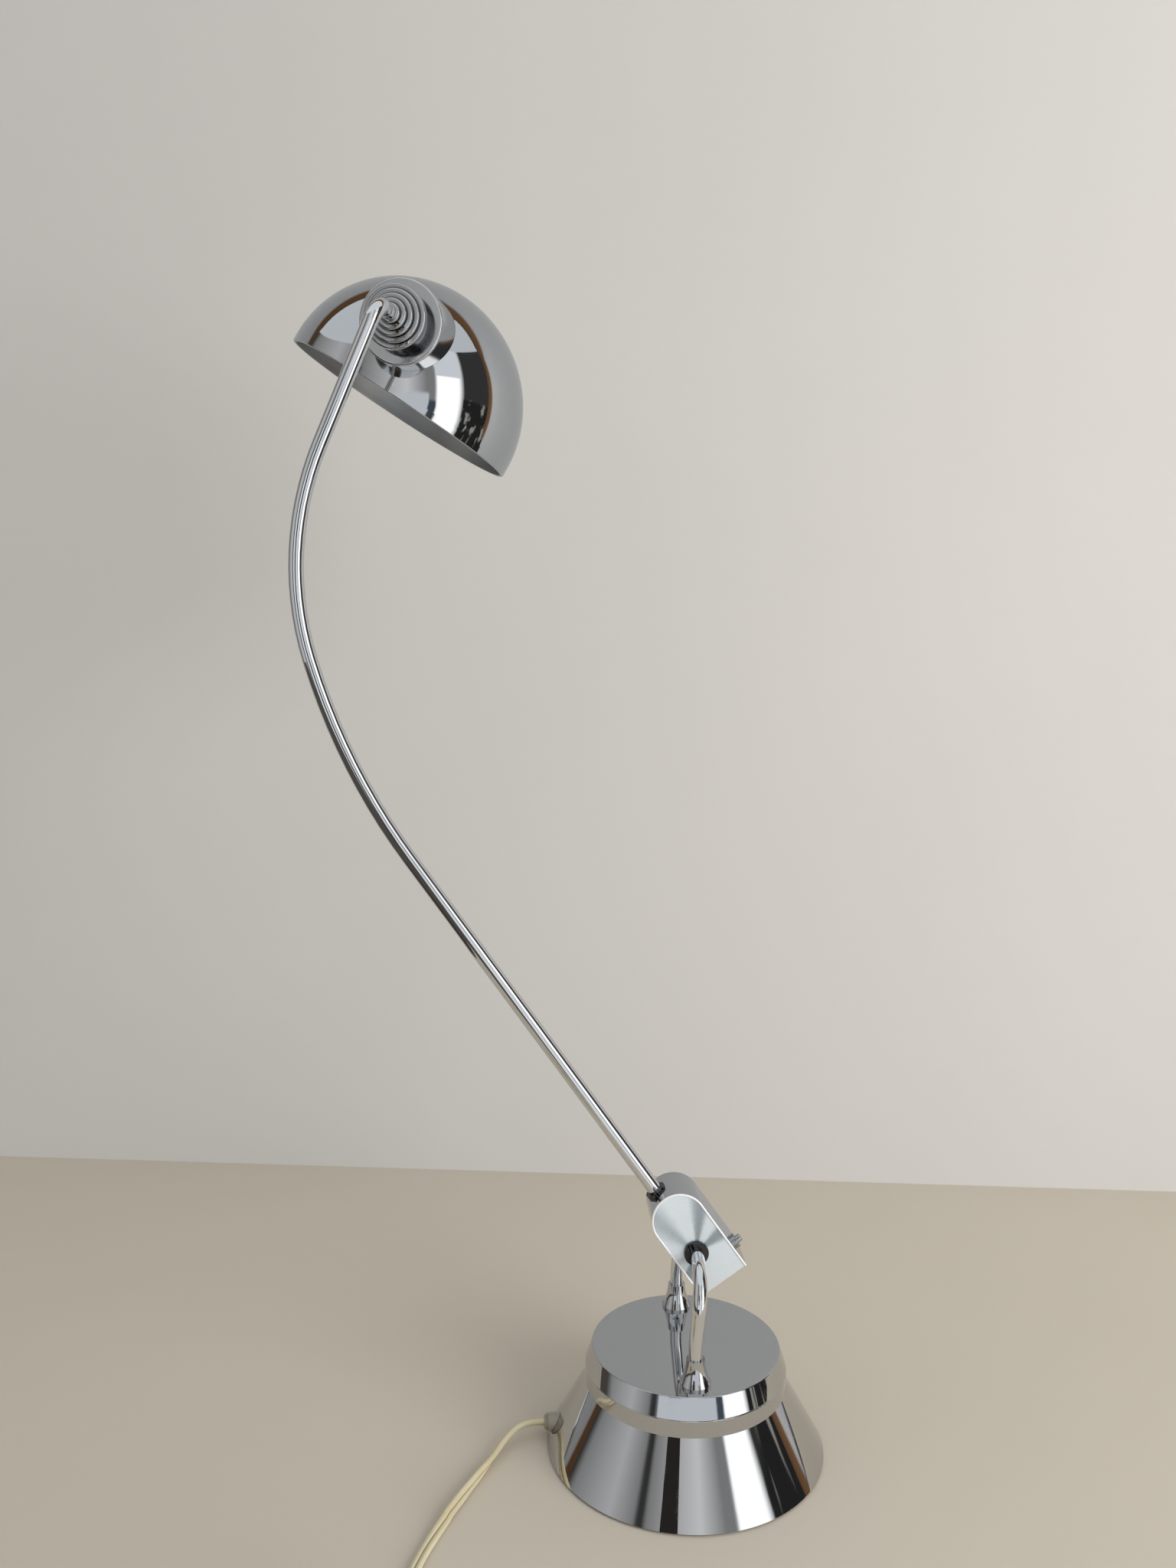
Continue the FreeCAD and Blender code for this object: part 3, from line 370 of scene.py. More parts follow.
def number(value: float) -> tuple[str, float]:
    """A float input with its default."""
    return ("NodeSocketFloat", value)


def whole(value: int) -> tuple[str, int]:
    """A whole-number input with its default."""
    return ("NodeSocketInt", value)


VECTOR = ("NodeSocketVector", None)


def handled_group() -> Tree:
    """Traces of use on a bright surface: smudges, hairline scratches and dust.

    Returns:
        Group with Tone, Roughness and Height.
    """
    tree, g, given, out = effect_group(
        "HandledSurface",
        {"Vector": VECTOR, "Smudge": number(1.0), "Scratch": number(1.0), "Dust": number(1.0)},
        ("Tone", "Roughness", "Height"),
    )
    place = given.outputs["Vector"]
    broad = g.remap(g.noise(place, 26.0, 5.0, 0.62), 0.50, 0.78)
    fine = g.remap(g.noise(place, 210.0, 4.0, 0.7), 0.42, 0.80)
    smudge = g.times(g.times(broad, fine), given.outputs["Smudge"], clamp=True)
    lines = None
    for tilt, spin in ((0.4, 0.9), (1.5, -0.5), (-0.7, 2.2)):
        inputs = {"Vector": place, "Rotation": (tilt, spin, 0.3), "Scale": (2600.0, 36.0, 2600.0)}
        line = g.remap(g.noise(g.node("ShaderNodeMapping", inputs).outputs[0], 1.0, 0.0), 0.735, 0.765)
        lines = line if lines is None else g.math("MAXIMUM", lines, line)
    patch = g.remap(g.noise(place, 60.0, 2.0), 0.45, 0.62)
    scratch = g.times(g.times(lines, patch), given.outputs["Scratch"], clamp=True)
    cells = g.node("ShaderNodeTexVoronoi", {"Vector": place, "Scale": 420.0})
    grains = g.remap(cells.outputs["Distance"], 0.10, 0.05)
    drawn = g.node("ShaderNodeSeparateColor", {"Color": cells.outputs["Color"]}).outputs[0]
    chosen = g.remap(drawn, 0.86, 0.88)
    dust = g.times(g.times(grains, chosen), given.outputs["Dust"], clamp=True)
    worn = g.plus(g.times(smudge, 0.10), g.times(dust, 0.30))
    g.feed(out.inputs["Tone"], g.minus(1.0, g.plus(worn, g.times(scratch, 0.05))))
    rough = g.plus(g.times(smudge, 0.16), g.times(dust, 0.45))
    g.feed(out.inputs["Roughness"], g.plus(rough, g.times(scratch, 0.22)))
    g.feed(out.inputs["Height"], g.minus(dust, scratch))
    return tree


def grain_group() -> Tree:
    """Drawn or brushed streaks along the vector's Z.

    Returns:
        Group with Tone and Height.
    """
    inputs = {"Vector": VECTOR, "Density": number(1.0)}
    tree, g, given, out = effect_group("StreakGrain", inputs, ("Tone", "Height"))
    dense = g.vector("SCALE", given.outputs["Vector"])
    g.feed(dense.node.inputs["Scale"], given.outputs["Density"])
    slim = g.node("ShaderNodeMapping", {"Vector": dense, "Scale": (2400.0, 2400.0, 40.0)})
    broad = g.node("ShaderNodeMapping", {"Vector": dense, "Scale": (260.0, 260.0, 9.0)})
    fine = g.noise(slim.outputs[0], 1.0, 3.0, 0.7)
    bands = g.noise(broad.outputs[0], 1.0, 2.0, 0.5)
    g.feed(out.inputs["Height"], fine)
    mixed = g.plus(g.times(fine, 0.4), g.times(bands, 0.6))
    g.feed(out.inputs["Tone"], g.remap(mixed, 0.30, 0.70, 0.0, 1.0))
    return tree


def skin_group() -> Tree:
    """Fine skin of moulded, cast or pressed surfaces.

    Returns:
        Group with Tone and Height.
    """
    inputs = {"Vector": VECTOR, "Scale": number(1500.0)}
    tree, g, given, out = effect_group("MouldedSkin", inputs, ("Tone", "Height"))
    place = g.vector("SCALE", given.outputs["Vector"])
    g.feed(place.node.inputs["Scale"], given.outputs["Scale"])
    pores = g.node("ShaderNodeTexVoronoi", {"Vector": place, "Scale": 1.0}).outputs["Distance"]
    swell = g.noise(place, 0.35, 3.0, 0.6)
    g.feed(out.inputs["Height"], g.plus(g.times(pores, 0.6), g.times(swell, 0.4)))
    g.feed(out.inputs["Tone"], g.remap(swell, 0.3, 0.7))
    return tree


def conductor_group() -> Tree:
    """Twisted strands inside the two halves of a flat cord; UV runs across and along it.

    Returns:
        Group with Core, Strand and Groove masks.
    """
    inputs = {"UV": VECTOR, "Lay": number(0.011)}
    tree, g, given, out = effect_group("CordConductors", inputs, ("Core", "Strand", "Groove"))
    sideways, lengthways, _ = g.split(given.outputs["UV"])
    across = g.math("ABSOLUTE", sideways)
    away = g.math("ABSOLUTE", g.minus(across, 0.47))
    g.feed(out.inputs["Core"], g.remap(away, 0.30, 0.10))
    # Groove: mask of the web between the two halves, used for painted shade
    g.feed(out.inputs["Groove"], g.remap(across, 0.16, 0.02))
    along = g.math("DIVIDE", lengthways, given.outputs["Lay"])
    phase = g.plus(g.times(along, 6.2832), g.times(sideways, 9.0))
    wave = g.math("SINE", g.times(phase, 3.0))
    g.feed(out.inputs["Strand"], g.remap(wave, -0.6, 0.9))
    return tree


class Effects:
    """The shader groups, each built once."""

    def __init__(self) -> None:
        self.handled = handled_group()
        self.grain = grain_group()
        self.skin = skin_group()
        self.conductors = conductor_group()


# Finishes


class Base(Enum):
    """Kinds of surface that a finish is built on."""

    PLATED = "plated"
    BRUSHED = "brushed"
    MOULDED = "moulded"
    GLASS = "glass"


@dataclass(frozen=True)
class Finish:
    """One finish: colours are linear, lengths in metres."""

    name: str
    base: Base
    colour: Point
    roughness: float
    metallic: float = 0.0
    smudge: float = 0.0
    scratch: float = 0.0
    dust: float = 0.0
    grain: float = 0.0
    skin: float = 0.0
    skin_scale: float = 1500.0
    coat: float = 0.0
    second: Optional[Point] = None


class FinishLibrary:
    """Builds each material once and hands it out by finish."""

    def __init__(self, effects: Effects) -> None:
        """Args:
            effects: the shared shader groups.
        """
        self.effects = effects
        self.made: dict[str, Material] = {}

    def get(self, finish: Finish) -> Material:
        """Returns the material of a finish, building it the first time."""
        if finish.name not in self.made:
            material, graph, surface = self.start(finish.name)
            self.fill(graph, surface, finish)
            self.made[finish.name] = material
            log.info("material %s", finish.name)
        return self.made[finish.name]

    def start(self, name: str) -> tuple[Material, Graph, Node]:
        """A new material with a Principled BSDF.

        Args:
            name: the material's name.

        Returns:
            The material, its graph and the shader node.
        """
        material, graph = bare_material(name)
        surface = graph.node("ShaderNodeBsdfPrincipled")
        graph.node("ShaderNodeOutputMaterial", {"Surface": surface.outputs[0]})
        return material, graph, surface

    def fill(self, g: Graph, surface: Node, finish: Finish) -> None:
        """Wires one finish.

        Args:
            g: the material's graph.
            surface: its Principled BSDF.
            finish: what it should look like.
        """
        place = g.place()
        surface.inputs["Metallic"].default_value = finish.metallic
        surface.inputs["Coat Weight"].default_value = finish.coat
        surface.inputs["Coat Roughness"].default_value = 0.08
        worn = g.group(
            self.effects.handled, Vector=place, Smudge=finish.smudge, Scratch=finish.scratch, Dust=finish.dust
        )
        rough = g.plus(worn.outputs["Roughness"], finish.roughness, clamp=True)
        tone = worn.outputs["Tone"]
        height = g.times(worn.outputs["Height"], 0.06)
        if finish.grain > 0.0:
            along_case = {"Vector": place, "Rotation": (0.0, math.radians(SIZES.arm_lean), 0.0)}
            lean = g.node("ShaderNodeMapping", along_case)
            streak = g.group(self.effects.grain, Vector=lean.outputs[0]).outputs
            tone = g.times(tone, g.remap(streak["Tone"], 0.0, 1.0, 1.0 - 0.35 * finish.grain, 1.0))
            rough = g.plus(rough, g.times(streak["Tone"], 0.18 * finish.grain), clamp=True)
            height = g.plus(height, g.times(streak["Height"], 0.10 * finish.grain))
        if finish.skin > 0.0:
            skin = g.group(self.effects.skin, Vector=place, Scale=finish.skin_scale).outputs
            tone = g.times(tone, g.remap(skin["Tone"], 0.0, 1.0, 1.0 - 0.25 * finish.skin, 1.0))
            height = g.plus(height, g.times(skin["Height"], finish.skin))
        painted: Value = rgba(finish.colour)
        if finish.second is not None:
            patches = g.remap(g.noise(place, 34.0, 4.0, 0.6), 0.42, 0.68)
            painted = g.mix(patches, painted, rgba(finish.second))
        g.feed(surface.inputs["Base Color"], g.mix(1.0, painted, tone, "MULTIPLY"))
        g.feed(surface.inputs["Roughness"], rough)
        g.bump(surface, 0.35, height)
        if finish.base is Base.GLASS:
            surface.inputs["Transmission Weight"].default_value = 1.0
            surface.inputs["IOR"].default_value = 1.46


def plated(name: str, colour: Point, roughness: float, **marks: float) -> Finish:
    """A polished metal."""
    return Finish(name, Base.PLATED, colour, roughness, 1.0, **marks)


def brushed(name: str, colour: Point, roughness: float, **marks: float) -> Finish:
    """A brushed or drawn metal."""
    return Finish(name, Base.BRUSHED, colour, roughness, 1.0, **marks)


def moulded(name: str, colour: Point, roughness: float, **marks: object) -> Finish:
    """A moulded, cast or pressed surface."""
    return Finish(name, Base.MOULDED, colour, roughness, **marks)


def glass(name: str, colour: Point, roughness: float, **marks: float) -> Finish:
    """Clear or frosted glass."""
    return Finish(name, Base.GLASS, colour, roughness, **marks)


CHROME = plated("mirror_chrome", (0.56, 0.565, 0.575), 0.022, smudge=0.5, scratch=0.35, dust=0.5)
TUBE_CHROME = plated("tube_chrome", (0.74, 0.745, 0.755), 0.035, smudge=0.6, scratch=0.4, dust=0.4)
POLISHED = plated("polished_nickel", (0.44, 0.44, 0.445), 0.07, smudge=0.6, scratch=0.5, dust=0.4)
# painted shade: near-black stands in for the shadow and dark reflections round the pivots and where the arm
# enters the case
PAINTED_SHADE_NICKEL = plated("dark_nickel", (0.075, 0.075, 0.08), 0.10, smudge=0.6, scratch=0.5, dust=0.4)
RING_CHROME = plated("ring_chrome", (0.50, 0.505, 0.515), 0.04, smudge=0.6, scratch=0.4, dust=0.5)
CUP_CHROME = plated("cup_chrome", (0.60, 0.605, 0.61), 0.11, smudge=0.6, scratch=0.4, dust=0.4)
SATIN_CHROME = brushed(
    "satin_chrome", (0.60, 0.615, 0.635), 0.20, smudge=0.6, scratch=0.6, dust=0.3, grain=0.9
)
ZINC = brushed("zinc_steel", (0.50, 0.50, 0.49), 0.30, smudge=0.8, scratch=0.8, grain=0.6)
CASTING = moulded("black_casting", (0.030, 0.030, 0.031), 0.55, dust=0.6, skin=0.9, skin_scale=700.0)
BRASS = plated("bright_brass", (0.72, 0.50, 0.20), 0.16, smudge=0.8, scratch=0.6)
CAP_METAL = plated("rolled_aluminium", (0.68, 0.68, 0.67), 0.24, smudge=0.6, scratch=0.5)
SOLDER = moulded("dull_solder", (0.42, 0.42, 0.43), 0.38, metallic=1.0, skin=0.5, skin_scale=1200.0)
DARK_PLASTIC = moulded("dark_moulding", (0.016, 0.016, 0.018), 0.34, smudge=0.5, dust=0.7, skin=0.35)
HOLDER_PLASTIC = moulded("holder_moulding", (0.030, 0.026, 0.022), 0.30, smudge=0.5, dust=0.6, skin=0.25)
NYLON = moulded("natural_nylon", (0.66, 0.62, 0.52), 0.42, dust=0.2, skin=0.25)
FIBRE = moulded("red_fibre", (0.20, 0.055, 0.03), 0.58, skin=0.6, skin_scale=900.0)
FOAM = moulded("foam_pad", (0.022, 0.022, 0.022), 0.85, dust=0.9, skin=1.0, skin_scale=900.0)
PLUG_VINYL = moulded(
    "ivory_vinyl", (0.58, 0.50, 0.34), 0.30, smudge=0.6, dust=0.3, skin=0.22, second=(0.52, 0.43, 0.27)
)
SMOKED_VINYL = moulded("smoked_vinyl", (0.36, 0.325, 0.25), 0.28, smudge=0.5, skin=0.2, coat=0.3)
RELIEF_VINYL = moulded("clear_vinyl", (0.50, 0.46, 0.36), 0.22, smudge=0.5, skin=0.2, coat=0.3)
STRAP = moulded("black_strap", (0.02, 0.02, 0.021), 0.62, dust=0.5, skin=0.8, skin_scale=2200.0)
FROSTED = glass("frosted_glass", (0.93, 0.93, 0.91), 0.30, smudge=0.3, dust=0.2)
STEM_GLASS = glass("stem_glass", (0.95, 0.96, 0.95), 0.02)
BLACK_GLASS = moulded("black_glass", (0.012, 0.012, 0.014), 0.10, smudge=0.5)
TUNGSTEN = plated("tungsten_wire", (0.22, 0.22, 0.23), 0.35)


# Studio and camera


@dataclass(frozen=True)
class Shot:
    """The photograph's camera, solved from the lamp's own outlines."""

    place: Point = (-0.08987, -0.64078, 0.42885)
    pitch: float = 4.699
    yaw: float = 3.0
    roll: float = 0.182
    lens: float = 27.207


def make_camera(shot: Shot) -> Item:
    """The scene's camera.

    Args:
        shot: where it stands and looks.

    Returns:
        The camera object.
    """
    data = bpy.data.cameras.new("photo_camera")
    data.lens = shot.lens
    data.sensor_width = 36.0
    data.sensor_height = 36.0
    data.clip_start = 0.01
    camera = bpy.data.objects.new("photo_camera", data)
    pitch, yaw, roll = (math.radians(angle) for angle in (shot.pitch, shot.yaw, shot.roll))
    ahead = Vector((math.sin(yaw) * math.cos(pitch), math.cos(yaw) * math.cos(pitch), -math.sin(pitch)))
    level = Vector((math.cos(yaw), -math.sin(yaw), 0.0))
    upright = level.cross(ahead)
    right = level * math.cos(roll) + upright * math.sin(roll)
    over = upright * math.cos(roll) - level * math.sin(roll)
    camera.matrix_world = Matrix.Translation(shot.place) @ Matrix((right, over, -ahead)).transposed().to_4x4()
    bpy.context.scene.collection.objects.link(camera)
    bpy.context.scene.camera = camera
    return camera


@dataclass(frozen=True)
class Band:
    """Tone of the room's wall at one bearing from the front; it changes evenly up to the next."""

    start: float
    level: float


# The room's plain tones: open doorway or upright, shaded wall, wall, daylit wall, window
DARK, SHADE, WALL, BRIGHT, WINDOW = 0.05, 0.30, 0.60, 0.85, 1.80


class Studio:
    """Floor, back wall, the room that bright metal mirrors, one broad lamp and the world."""

    wall_y = 0.369
    wall_slant = -0.119
    room_radius = 2.2
    room_height = 2.5
    room_depth = -1.3
    table_front = -0.34
    table_right = 0.50
    table_left = -0.40
    floor_colour = (0.62, 0.565, 0.475)
    wall_colour = (0.64, 0.625, 0.60)
    mirrored_wall = (0.465, 0.475, 0.485)
    mirrored_edge = (0.17, 0.095, 0.05)
    edge_aside = (1.15, 1.40)
    edge_above = (1.35, 1.55)
    mottle_depth = 0.975
    floor_half = 4
    floor_drop = -0.0003
    wall_half = 3
    wall_drop = -0.01
    figure_colour = (0.030, 0.026, 0.024)
    figure_y = -0.80
    figure_x = (-0.37, -0.17)
    figure_z = (0.16, 0.49)
    room_reach = 125.0
    room_steps = 96
    pale_front = (0.76, 0.81, 0.85)
    shelf_colour = (0.07, 0.095, 0.125)
    lintel_colour = (0.92, 0.98, 1.02)
    furniture = ((0.025, 0.024, 0.024), (0.40, 0.39, 0.36))
    under_table = ((0.085, 0.075, 0.065), (0.80, 0.83, 0.86))
    room_floor = ((0.06, 0.045, 0.035), (0.60, 0.60, 0.60))
    ceiling = (0.72, 0.77, 0.80)
    lamp_place = (1.30, -1.30, 0.75)
    lamp_aim = (-0.05, 0.05, 0.30)
    lamp_size = (1.3, 1.5)
    lamp_power = 29.0
    lamp_colour = (1.0, 0.99, 0.97)
    fill_colour = (0.60, 0.61, 0.63)
    sky_colour = (0.74, 0.73, 0.72)
    bands = (
        Band(-180.0, SHADE), Band(-115.0, DARK), Band(-105.0, DARK), Band(-99.0, SHADE),
        Band(-65.0, WALL), Band(-46.0, SHADE), Band(-43.0, DARK), Band(-39.0, DARK), Band(-36.0, SHADE),
        Band(5.0, BRIGHT), Band(24.0, SHADE), Band(32.0, SHADE), Band(34.5, WINDOW), Band(57.0, WINDOW),
        Band(63.0, DARK), Band(100.0, DARK), Band(125.0, SHADE),
    )

    def build(self) -> None:
        """Makes the whole studio."""
        self.floor()
        self.wall()
        self.room()
        self.figure()
        self.lamp()
        self.world()
        scene = bpy.context.scene
        scene.view_settings.view_transform = "Standard"

    def plane(self, name: str, corners: Sequence[Point], material: Material) -> Item:
        """A four-cornered staged sheet."""
        mesh = bpy.data.meshes.new(name)
        mesh.from_pydata([Vector(corner) for corner in corners], [], [(0, 1, 2, 3)])
        mesh.materials.append(material)
        sheet = bpy.data.objects.new(name, mesh)
        bpy.context.scene.collection.objects.link(sheet)
        sheet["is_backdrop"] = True
        return sheet

    def matt(
        self,
        name: str,
        colour: Point,
        clear: Callable[[Graph, Node, Socket], Value],
        mirrored: Optional[Callable[[Graph, Socket], Value]] = None,
    ) -> Material:
        """Matt paint with a faint mottle that some rays pass through.

        Args:
            name: the material's name.
            colour: its linear colour.
            clear: from the graph, the light path and the place, the mask of what rays pass.
            mirrored: from the graph and the place, the colour that mirrors see instead.

        Returns:
            The material.
        """
        material, g = bare_material(name)
        where = g.place()
        paths = g.node("ShaderNodeLightPath")
        mottle = g.remap(g.noise(where, 3.0, 4.0, 0.5), 0.3, 0.7)
        dark = tuple(value * self.mottle_depth for value in colour)
        painted = g.mix(mottle, rgba(dark), rgba(colour))
        if mirrored is not None:
            painted = g.mix(paths.outputs["Is Glossy Ray"], painted, mirrored(g, where))
        surface = g.node("ShaderNodeBsdfDiffuse", {"Color": painted}).outputs[0]
        open_end = g.node("ShaderNodeBsdfTransparent").outputs[0]
        mixed = g.node("ShaderNodeMixShader", {0: clear(g, paths, where), 1: surface, 2: open_end})
        g.node("ShaderNodeOutputMaterial", {"Surface": mixed.outputs[0]})
        return material

    def past_table(self, g: Graph, paths: Node, where: Socket) -> Value:
        """Mask of mirror rays that meet the floor beyond the table's front, left and right edges."""
        x, y, _ = g.split(where)
        front = g.math("LESS_THAN", y, self.table_front)
        right = g.math("GREATER_THAN", x, self.table_right)
        left = g.math("LESS_THAN", x, self.table_left)
        past = g.math("MAXIMUM", g.math("MAXIMUM", front, right), left)
        return g.times(past, paths.outputs["Is Glossy Ray"])

    def wall_in_mirrors(self, g: Graph, where: Socket) -> Value:
        """Colour of the shaded wall as mirrors see it, turning brown towards its sides and top."""
        x, _, z = g.split(where)
        aside = g.remap(g.math("ABSOLUTE", x), *self.edge_aside)
        above = g.remap(z, *self.edge_above)
        return g.mix(g.math("MAXIMUM", aside, above), rgba(self.mirrored_wall), rgba(self.mirrored_edge))

    def from_behind(self, g: Graph, paths: Node, _: Socket) -> Value:
        """Mask of camera rays that meet the wall from behind."""
        back = g.node("ShaderNodeNewGeometry").outputs["Backfacing"]
        return g.times(paths.outputs["Is Camera Ray"], back)

    def floor(self) -> None:
        """Pale table top."""
        half, low = self.floor_half, self.floor_drop
        corners = [(-half, -half, low), (half, -half, low), (half, half, low), (-half, half, low)]
        self.plane("floor", corners, self.matt("floor_paint", self.floor_colour, self.past_table))

    def wall(self) -> None:
        """Pale wall behind the lamp, its foot where the photograph has it."""
        half, low, top = self.wall_half, self.wall_drop, self.room_height
        left, right = (self.wall_y + self.wall_slant * x for x in (-half, half))
        corners = [(-half, left, low), (half, right, low), (half, right, top), (-half, left, top)]
        paint = self.matt("wall_paint", self.wall_colour, self.from_behind, self.wall_in_mirrors)
        self.plane("wall", corners, paint)

    def figure(self) -> None:
        """Dark upright in front of the lamp, where whoever takes the picture stands; only mirrors see it."""
        material, g = bare_material("figure_dark")
        dark = g.node("ShaderNodeEmission", {"Color": rgba(self.figure_colour), "Strength": 1.0})
        g.node("ShaderNodeOutputMaterial", {"Surface": dark.outputs[0]})
        (left, right), (low, top), y = self.figure_x, self.figure_z, self.figure_y
        corners = [(left, y, low), (right, y, low), (right, y, top), (left, y, top)]
        sheet = self.plane("figure", corners, material)
        self.mirrors_only(sheet)

    def mirrors_only(self, item: Item) -> None:
        """Hides a staged thing from everything but mirror and glass rays."""
        item.visible_camera = False
        item.visible_diffuse = False
        item.visible_shadow = False

    def room(self) -> None:
        """Room wall, floor and ceiling round the front and sides that only mirrors and glass see."""
        steps, reach = self.room_steps, self.room_reach
        vertices, faces = [], []
        for step in range(steps + 1):
            bearing = math.radians(-reach + 2 * reach * step / steps)
            x, y = self.room_radius * math.sin(bearing), -self.room_radius * math.cos(bearing)
            vertices += [(x, y, self.room_depth), (x, y, self.room_height)]
        for step in range(steps):
            faces.append((2 * step, 2 * step + 1, 2 * step + 3, 2 * step + 2))
        top = len(vertices)
        vertices += [(0.0, 0.0, self.room_depth), (0.0, 0.0, self.room_height)]
        for step in range(steps):
            faces.append((2 * step, top, 2 * step + 2))
            faces.append((2 * step + 1, top + 1, 2 * step + 3))
        mesh = bpy.data.meshes.new("room")
        mesh.from_pydata(vertices, [], faces)
        mesh.materials.append(self.room_material())
        room = bpy.data.objects.new("room", mesh)
        self.mirrors_only(room)
        bpy.context.scene.collection.objects.link(room)
        room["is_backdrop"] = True

    def between(self, g: Graph, bearing: Value, first: float, last: float) -> Value:
        """Soft mask of the bearings from one to another, in degrees."""
        rise = g.remap(bearing, math.radians(first - 1.0), math.radians(first + 1.0))
        fall = g.remap(bearing, math.radians(last + 1.0), math.radians(last - 1.0))
        return g.times(rise, fall)

    def room_material(self) -> Material:
        """Emission by bearing and height: walls, uprights, a window, ceiling and the space below the table."""
        material, g = bare_material("room_light")
        where = g.place()
        x, y, z = g.split(where)
        bearing = g.math("ARCTAN2", x, g.times(y, -1.0))
        share = g.plus(g.math("DIVIDE", bearing, 2 * math.pi), 0.5)
        ramp = g.node("ShaderNodeValToRGB", {"Fac": share})
        ramp.color_ramp.interpolation = "LINEAR"
        stops = ramp.color_ramp.elements
        while len(stops) > 1:
            stops.remove(stops[0])
        for index, band in enumerate(self.bands):
            at = band.start / 360 + 0.5
            stop = stops[0] if index == 0 else stops.new(at)
            stop.position = at
            stop.color = (band.level, band.level, band.level, 1.0)
        window = g.math("GREATER_THAN", ramp.outputs[0], 1.0)
        lintel = g.times(window, g.remap(z, 1.20, 1.26))
        pale = g.times(self.between(g, bearing, -36.0, 26.0), g.remap(z, 0.66, 0.48))
        front = g.mix(pale, ramp.outputs[0], rgba(self.pale_front))
        high = g.times(g.remap(z, 0.40, 0.25), g.remap(z, -0.62, -0.55))
        shelf = g.times(self.between(g, bearing, 26.0, 33.0), high)
        uprights = g.mix(shelf, front, rgba(self.shelf_colour))
        walls = g.mix(lintel, uprights, rgba(self.lintel_colour))
        spots = g.noise(g.vector("MULTIPLY", where, (3.6, 3.6, 2.6)), 1.0, 2.0, 0.55)
        clutter = g.times(self.between(g, bearing, 62.0, 118.0), g.remap(z, 0.62, 0.50))
        busy = g.mix(g.remap(spots, 0.52, 0.64), *map(rgba, self.furniture))
        furnished = g.mix(clutter, walls, busy)
        below = g.times(g.remap(z, -0.05, -0.15), g.minus(1.0, window))
        daylit = g.times(self.between(g, bearing, -8.0, 62.0), g.minus(1.0, shelf))
        under = g.mix(daylit, *map(rgba, self.under_table))
        lower = g.mix(g.times(below, g.minus(1.0, clutter)), furnished, under)
        sides = g.mix(g.remap(z, -1.24, -1.28), lower, g.mix(daylit, *map(rgba, self.room_floor)))
        whole_room = g.mix(g.remap(z, 2.30, 2.36), sides, rgba(self.ceiling))
        light = g.node("ShaderNodeEmission", {"Color": whole_room, "Strength": 1.0})
        g.node("ShaderNodeOutputMaterial", {"Surface": light.outputs[0]})
        return material

    def lamp(self) -> None:
        """Broad soft light from the right front."""
        data = bpy.data.lights.new("window_light", "AREA")
        data.shape = "RECTANGLE"
        data.size, data.size_y = self.lamp_size
        data.energy = self.lamp_power
        data.color = self.lamp_colour
        lamp = bpy.data.objects.new("window_light", data)
        lamp.location = self.lamp_place
        aim = Vector(self.lamp_aim) - lamp.location
        lamp.rotation_euler = aim.to_track_quat("-Z", "Y").to_euler()
        lamp.visible_glossy = False
        lamp.visible_camera = False
        bpy.context.scene.collection.objects.link(lamp)

    def world(self) -> None:
        """Even pale world that fills the shadows; paler where the camera looks past the floor."""
        world = bpy.data.worlds.new("studio_world")
        world.use_nodes = True
        world.node_tree.nodes.clear()
        g = Graph(world.node_tree)
        paths = g.node("ShaderNodeLightPath").outputs
        seen = g.math("MAXIMUM", paths["Is Camera Ray"], paths["Is Glossy Ray"])
        seen = g.math("MAXIMUM", seen, paths["Is Transmission Ray"])
        colour = g.mix(seen, rgba(self.fill_colour), rgba(self.sky_colour))
        sky = g.node("ShaderNodeBackground", {"Color": colour, "Strength": 1.0})
        g.node("ShaderNodeOutputWorld", {"Surface": sky.outputs[0]})
        bpy.context.scene.world = world


# Meshes


